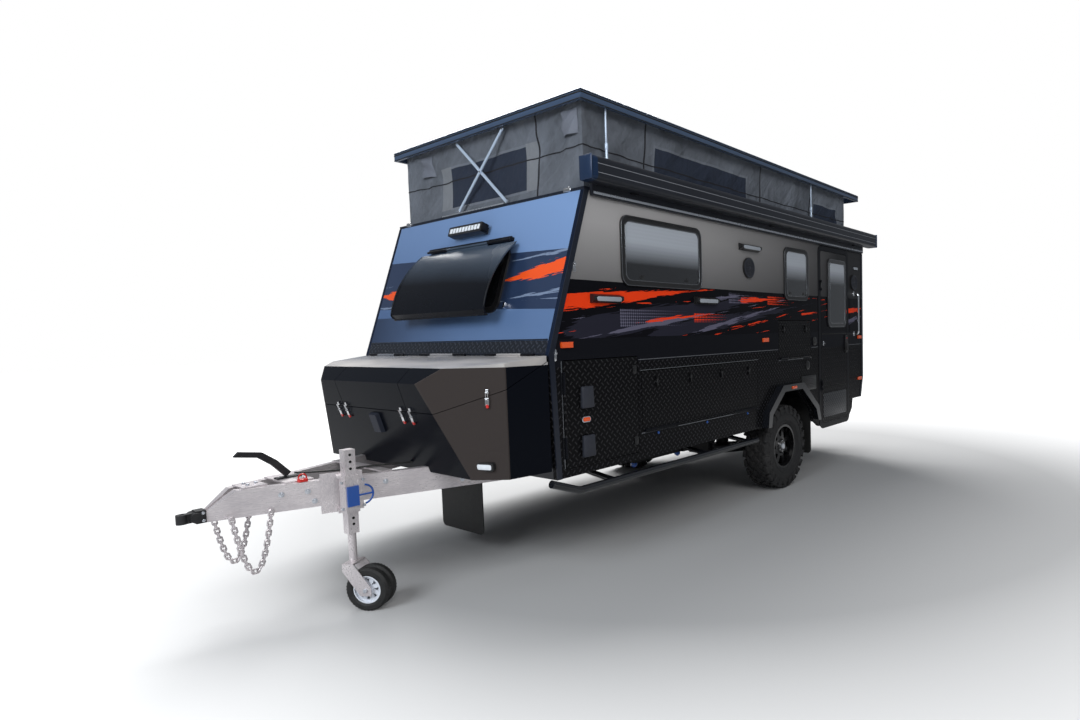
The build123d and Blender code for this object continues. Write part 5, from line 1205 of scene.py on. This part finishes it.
fittings = {
    "filler": (-0.442, 1.188), "vent": (-0.625, -0.3, 0.93, 1.08), "socket": (-0.6, 1.43),
    "lamp": (-1.7, 2.25), "speakers": ((0.685, 2.104), (-1.637, 2.084)), "rings": (0.056, 0.042, 0.028),
    "sideLamps": ((2.49, 1.785, 0.28), (1.35, 1.8, 0.3), (0.672, 2.28, 0.325)),
    "leftMarker": (-0.016, 0.995, 0.068), "rightMarker": (-0.016, 1.07),
}


def makeFittings():
    base = onLeft(*fittings["filler"])
    addTurned([(0, 0), (0.045, 0), (0.045, 0.006), (0.038, 0.01), (0.02, 0.012), (0, 0.012)], base, 40)
    addBlock((-0.006, -0.03, 0.01), (0.006, 0.03, 0.016), 0.003, base)
    x0, x1, z0, z1 = fittings["vent"]
    base = onLeft((x0 + x1) / 2, (z0 + z1) / 2)
    addCard(x1 - x0, z1 - z0, 0.014, 0.01, 0.003, base)
    for k in range(7):
        y = -0.051 + 0.017 * k
        addBlock((-0.14, y - 0.004, 0.008), (0.14, y + 0.004, 0.014), 0.002, base)
    base = onLeft(*fittings["socket"])
    addCard(0.07, 0.085, 0.012, 0.012, 0.003, base)
    addCard(0.056, 0.05, 0.008, 0.02, 0.003, base)
    finishPiece("wallFittings", "plasticBlack")
    addCard(0.11, 0.03, 0.012, 0.014, 0.004, onLeft(*fittings["lamp"]))
    for x, z, length in fittings["sideLamps"]:
        addCard(length - 0.05, 0.03, 0.012, 0.0035, 0.001, onLeft(x, z - 0.004, 0.0405))
    finishPiece("sideLampLenses", "lensClear")
    for x, z in fittings["speakers"]:
        base = onLeft(x, z, 0.0155)
        addTurned([(0.07, 0), (0.084, 0), (0.084, 0.003), (0.077, 0.005), (0.07, 0.003)], base, 48)
        for r in fittings["rings"]:
            addTurned([(r, 0), (r + 0.005, 0), (r + 0.005, 0.003), (r, 0.003)], base, 40)
        addTurned([(0, 0), (0.016, 0), (0.016, 0.003), (0.008, 0.006), (0, 0.006)], base, 32)
        for k in range(8):
            turn = base @ Matrix.Rotation(math.tau * k / 8, 4, "Z")
            addBlock((0.012, -0.0018, 0), (0.076, 0.0018, 0.0025), 0.0005, turn)
    finishPiece("speakerGrilles", "ventGrey")
    for base in (onLeft(*fittings["leftMarker"]), acrossMiddle @ onLeft(*fittings["rightMarker"])):
        addCard(0.09, 0.026, 0.01, 0.012, 0.003, base)
    finishPiece("flareMarkers", "lensOrange")


doorParts = {
    "face": 0.0035, "seam": 1.5, "kick": (-1.4, -0.8, 0.6, 0.86), "lock": (-1.395, 1.38),
    "catch": (-0.805, 1.4),
}


def makeDoorParts():
    face = doorParts["face"]
    x0, x1, z0, z1 = doorParts["kick"]
    addCard(x1 - x0, z1 - z0, 0.02, 0.003, 0.001, onLeft((x0 + x1) / 2, (z0 + z1) / 2, face))
    finishPiece("doorKickPlate", "kickPlate", "entry_door")
    z = doorParts["seam"]
    sideBlock(1, -1.422, -0.773, z - 0.006, z + 0.006, face, face + 0.0027)
    sideBlock(1, -1.4, -0.795, 0.92, 0.928, face, face + 0.0023, 0.0006)
    finishPiece("doorSeam", "slotBlack", "entry_door")
    x, z = doorParts["lock"]
    addCard(0.045, 0.2, 0.016, 0.018, 0.004, onLeft(x, z, face))
    addCard(0.026, 0.09, 0.01, 0.03, 0.004, onLeft(x, z - 0.03, face))
    finishPiece("doorLock", "plasticBlack", "entry_door")
    addRod((0, 0.065, 0.012), (0, 0.065, 0.0215), 0.009, 20, 0.002, onLeft(x, z, face))
    finishPiece("doorLockButton", "catchRed", "entry_door")
    x, z = doorParts["catch"]
    addCard(0.02, 0.05, 0.008, 0.01, 0.003, onLeft(x, z, face))
    addRod((0, 0, 0.008), (0, 0, 0.024), 0.007, 20, 0.002, onLeft(x, z, face))
    finishPiece("doorCatch", "chrome", "entry_door")


makeWallTrims()
makeLatchPulls()
makeVents()
makeFittings()
makeDoorParts()
print("walls dressed")

# ---- toolbox: clasps and corner lamps
def onBox(y, z, proud=0.0):  # X of the frame points to the left, Y up the toolbox's leaning front
    lean = math.atan2(toolbox["lipX"] - toolbox["lowX"], toolbox["lipZ"] - toolbox["lowZ"])
    s, c = math.sin(lean), math.cos(lean)
    x = toolbox["lowX"] + math.tan(lean) * (z - toolbox["lowZ"])
    return facing(spot(x, y, z) + Vector((c, 0, -s)) * proud, (c, 0, -s), (s, 0, c))


def claspPlaces():
    places = [onBox(y, toolbox["joint"]) for y in toolbox["clasps"]]
    x0, y0, x1, y1, z = toolbox["chamfer"]
    left = facing(spot(x0 + 0.2 * (x1 - x0), y0 + 0.2 * (y1 - y0), z), (y0 - y1, x1 - x0, 0))
    return places + [left, acrossMiddle @ left]


def makeToolboxTrim():
    loop = [(-0.006, -0.03, 0.014), (-0.006, 0.02, 0.018), (0.006, 0.02, 0.018), (0.006, -0.03, 0.014)]
    for base in claspPlaces():
        addTube(loop, 0.0022, False, 8, 2, base)
        addBlock((-0.01, 0.01, -0.001), (0.01, 0.034, 0.01), 0.002, base)
        addRod((-0.012, -0.02, 0.017), (0.012, -0.02, 0.017), 0.0035, 12, 0.0008, base)
    finishPiece("claspHooks", "chrome")
    for base in claspPlaces():
        addBlock((-0.008, -0.074, 0.004), (0.008, -0.052, 0.015), 0.003, base)
    finishPiece("claspTips", "catchRed")
    lamp = facing(spot(*toolbox["lamp"]), (0.953, 0.303, -0.15))
    for mirror in bothSides:
        place = mirror @ lamp @ Matrix.Translation((0, 0, -0.012))
        addCard(0.12, 0.05, 0.014, 0.03, 0.004, place)
    finishPiece("cornerLamps", "plasticBlack")
    for mirror in bothSides:
        place = mirror @ lamp @ Matrix.Translation((0, 0, 0.0165))
        addCard(0.096, 0.032, 0.01, 0.006, 0.002, place)
    finishPiece("cornerLenses", "lensWhite")


makeToolboxTrim()
print("toolbox dressed")

# ---- drawbar, coupling and jockey wheel
drawbar = {
    "tipX": 4.33, "tipY": 0.08, "grow": 0.3719,
    "sideBolts": ((4.14, 0.7), (4.02, 0.7), (3.99, 0.64), (3.64, 0.7), (3.22, 0.7), (3.22, 0.65)),
    "topBolts": ((4.21, 0.0), (4.26, 0.03), (4.26, -0.03), (4.0, 0.12), (4.0, -0.12)),
    "shackle": (4.034, 0.17, 0.7555),
    "conduit": (
        (4.02, 0.03, 0.79), (3.9, 0.06, 0.775), (3.75, 0.11, 0.772), (3.6, 0.17, 0.775), (3.45, 0.22, 0.768),
        (3.3, 0.26, 0.766),
    ),
}


def onBar(x, z):  # Z of the frame points out of the left beam
    out = Vector((drawbar["grow"], 1, 0)).normalized()
    return facing(spot(x, drawbar["tipY"] + (drawbar["tipX"] - x) * drawbar["grow"], z), out)


def makeDrawbarTrim():
    for x, z in drawbar["sideBolts"]:
        addRod((0, 0, 0), (0, 0, 0.003), 0.015, 24, 0.0005, onBar(x, z))
        addRod((0, 0, 0.002), (0, 0, 0.012), 0.01, 6, 0.0012, onBar(x, z))
    addCopies(list(pending), acrossMiddle)
    for x, y in drawbar["topBolts"]:
        addRod(spot(x, y, 0.763), spot(x, y, 0.773), 0.01, 6, 0.0012)
    for side in (1, -1):
        for z in (0.62, 0.66):
            addRod(spot(4.475, side * 0.033, z), spot(4.475, side * 0.043, z), 0.009, 6, 0.0012)
    finishPiece("drawbarBolts", "alloyBright", angle=30)
    for shift, radius in (((0, 0, 0), 0.006), ((0, 0.02, 0.002), 0.005)):
        addTube([spot(*point) + Vector(shift) for point in drawbar["conduit"]], radius, False, 12, 3)
    finishPiece("brakeConduits", "rubberBlack", angle=50)
    x, y, z = drawbar["shackle"]
    addCard(0.035, 0.05, 0.008, 0.018, 0.003, facing(spot(x, y, z), (0, 0, 1), (1, 0, 0)))
    loop = [(x - 0.022, z + 0.01), (x - 0.022, z + 0.045), (x + 0.022, z + 0.045), (x + 0.022, z + 0.01)]
    addTube([spot(a, y, b) for a, b in loop], 0.004, False, 8, 3)
    finishPiece("shackleHolder", "catchRed")


jockey = {
    "post": (3.86, 0.345), "half": 0.03, "yaw": 33.5, "trail": 0.1, "radius": 0.125, "gap": 0.012,
    "width": 0.05, "fork": 0.064, "ribs": 40, "holes": (0.5, 0.535, 0.82, 0.86, 0.9),
    "clamp": (0.06, 0.037, 0.6, 0.75),  # half X, Y past the post, Z of the bolts
}


def makeJockeyTrim():
    x, y = jockey["post"]
    dx, dy, z0, z1 = jockey["clamp"]
    for px, z in ((x - dx, z0), (x - dx, z1), (x + dx, z0), (x + dx, z1)):
        addRod((0, 0, -0.002), (0, 0, 0.012), 0.009, 6, 0.0012, facing(spot(px, y + dy, z), (0, 1, 0)))
    finishPiece("jockeyClampBolts", "alloyBright", angle=30)
    # dark discs stand for the holes in the post: painted shade
    for z in jockey["holes"]:
        base = facing(spot(x, y + jockey["half"], z), (0, 1, 0))
        addRod((0, 0, -0.001), (0, 0, 0.0012), 0.008, 20, 0.0, base)
    finishPiece("jockeyPostHoles", "slotBlack", angle=30)
    a, trail = math.radians(jockey["yaw"]), jockey["trail"]
    along = Vector((math.cos(a), math.sin(a), 0))
    middle = spot(x - trail * math.sin(a), y + trail * math.cos(a), jockey["radius"])
    for way in (1, -1):
        base = facing(middle + along * (way * jockey["fork"]), along * way)
        addRod((0, 0, -0.001), (0, 0, 0.009), 0.013, 6, 0.0015, base)
    finishPiece("jockeyAxleNuts", "alloyBright", "jockey_fork", 30)
    for k in range(jockey["ribs"]):
        for way in (1, -1):
            base = facing(middle, along) @ Matrix.Rotation(math.tau * k / jockey["ribs"], 4, "Z")
            z0, r = way * (jockey["gap"] + jockey["width"]) / 2, jockey["radius"]
            addBlock((r - 0.004, -0.003, z0 - 0.018), (r - 0.0002, 0.003, z0 + 0.018), 0.001, base)
    finishPiece("jockeyTreads", "rubberBlack", "jockey_wheels", 30)


makeDrawbarTrim()
makeJockeyTrim()
print("drawbar dressed")

# ---- awning, steadies and rear
def makeAwningTrim():
    y0, y1, z0, z1, cap = pick(awning, "inner outer low high cap")
    for x, way in ((awning["front"], -1), (awning["rear"], 1)):
        x0, x1 = sorted((x - way * cap, x))
        addBlock(spot(x0, y0, z0), spot(x1, y1, z1), 0.005)
    finishPiece("awningEndCaps", "capBlue", angle=50)
    x0, x1, z0, z1 = awning["rail"]
    addBlock(spot(x0, y0 - 0.002, z0), spot(x1, y0 + 0.0018, z1), 0.0005)
    finishPiece("awningRailLine", "alloyBright")
    for x in awning["brackets"]:
        addBlock(spot(x - 0.04, leftFace + 0.002, 2.5), spot(x + 0.04, y0 + 0.012, 2.545), 0.004)
    finishPiece("awningBrackets", "powderBlack")


steadies = {"x": (2.08, 1.56), "y": 0.94}
rearTrim = {"plate": (-1.906, 0.62, 1.1), "hooks": 0.6}


def makeSteadyEnds():
    y = steadies["y"]
    for x in steadies["x"]:
        addRod(spot(x, y, 0.603), spot(x, y, 0.575), 0.024, 24, 0.004)
        addRod(spot(x, y, 0.579), spot(x, y, 0.567), 0.014, 6, 0.002)
    addCopies(list(pending), acrossMiddle)
    finishPiece("steadyEnds", "releaseBlue")


def makeRearTrim():
    base = facing(spot(*rearTrim["plate"]), (-1, 0, 0))
    addCard(0.36, 0.13, 0.01, 0.007, 0.001, base)
    finishPiece("plateBoard", "unitWhite")
    addCard(0.38, 0.15, 0.012, 0.004, 0.001, base)
    addBlock((-0.05, 0.075, 0.0), (0.05, 0.1, 0.03), 0.004, base)
    for y in (rearTrim["hooks"], -rearTrim["hooks"]):
        addBlock(spot(-1.951, y - 0.05, 0.63), spot(-1.938, y + 0.05, 0.675), 0.003)
    finishPiece("rearFittings", "plasticBlack")


makeAwningTrim()
makeSteadyEnds()
makeRearTrim()
print("awning, steadies and rear dressed")

# ---- stage and light
stage = {"floor": (0.45, 0.45, 0.45), "world": 0.22, "near": 3.6, "far": 7.5}


def makeStage():
    startFresh()
    bpy.ops.mesh.primitive_plane_add(size=120, location=(0, 0, 0))
    floor = bpy.context.object
    floor.name = "studioFloor"
    finish = Finish("studioFloorPaint", stage["floor"], 0.9)
    finish.set("Roughness", finish.noise(0.4) * 0.1 + 0.8)
    x, y = finish.place()[:2]
    away = finish.make("ShaderNodeMath", {"operation": "SQRT"}, {0: x * x + y * y})
    lift = ((away - stage["near"]) / (stage["far"] - stage["near"])).clip()
    lift = lift * finish.make("ShaderNodeLightPath")  # the camera alone sees the floor fade to white
    finish.set("Emission Color", finish.mix(lift, (0, 0, 0), (1, 1, 1)))
    finish.set("Emission Strength", 1.0)
    floor.data.materials.append(finish.material)


def makeWorld():  # white for the camera, a dimmer blue for everything else
    world = bpy.data.worlds.new("studio")
    bpy.context.scene.world = world
    world.use_nodes = True
    tree = world.node_tree
    tree.nodes.clear()
    seen = makeNode(tree, "ShaderNodeLightPath", {}, {})
    soft = makeNode(tree, "ShaderNodeBackground", {}, {0: (0.86, 0.92, 1.0, 1.0), 1: stage["world"]})
    white = makeNode(tree, "ShaderNodeBackground", {}, {0: (1.0, 1.0, 1.0, 1.0), 1: 1.0})
    mixed = makeNode(tree, "ShaderNodeMixShader", {}, {0: seen, 1: soft, 2: white})
    output = tree.nodes.new("ShaderNodeOutputWorld")
    tree.links.new(mixed.socket, output.inputs[0])


def addLamp(name, place, aim, size, power, colour):
    lamp = bpy.data.lights.new(name, "AREA")
    lamp.shape, lamp.size, lamp.size_y = "RECTANGLE", size[0], size[1]
    lamp.energy, lamp.color = power, colour
    thing = bpy.data.objects.new(name, lamp)
    bpy.context.collection.objects.link(thing)
    thing.location = place
    thing.rotation_euler = (Vector(aim) - Vector(place)).to_track_quat("-Z", "Y").to_euler()


lamps = {
    # place, aim, size, power, colour
    "mainLamp": ((-2.8, -4.8, 9.5), (0.3, 0.6, 0), (9, 7), 2300, (1, 1, 1)),
    "keyLamp": ((4.0, 7.5, 6.5), (0, 0, 1.2), (6, 4), 330, (1, 1, 1)),
    "fillLamp": ((9.5, 1.5, 5.5), (0, 0, 1.4), (5, 4), 520, (0.9, 0.95, 1.0)),
}
makeStage()
makeWorld()
for name, row in lamps.items():
    addLamp(name, *row)
bpy.context.scene.view_settings.view_transform = "Standard"
print("stage and lamps made")
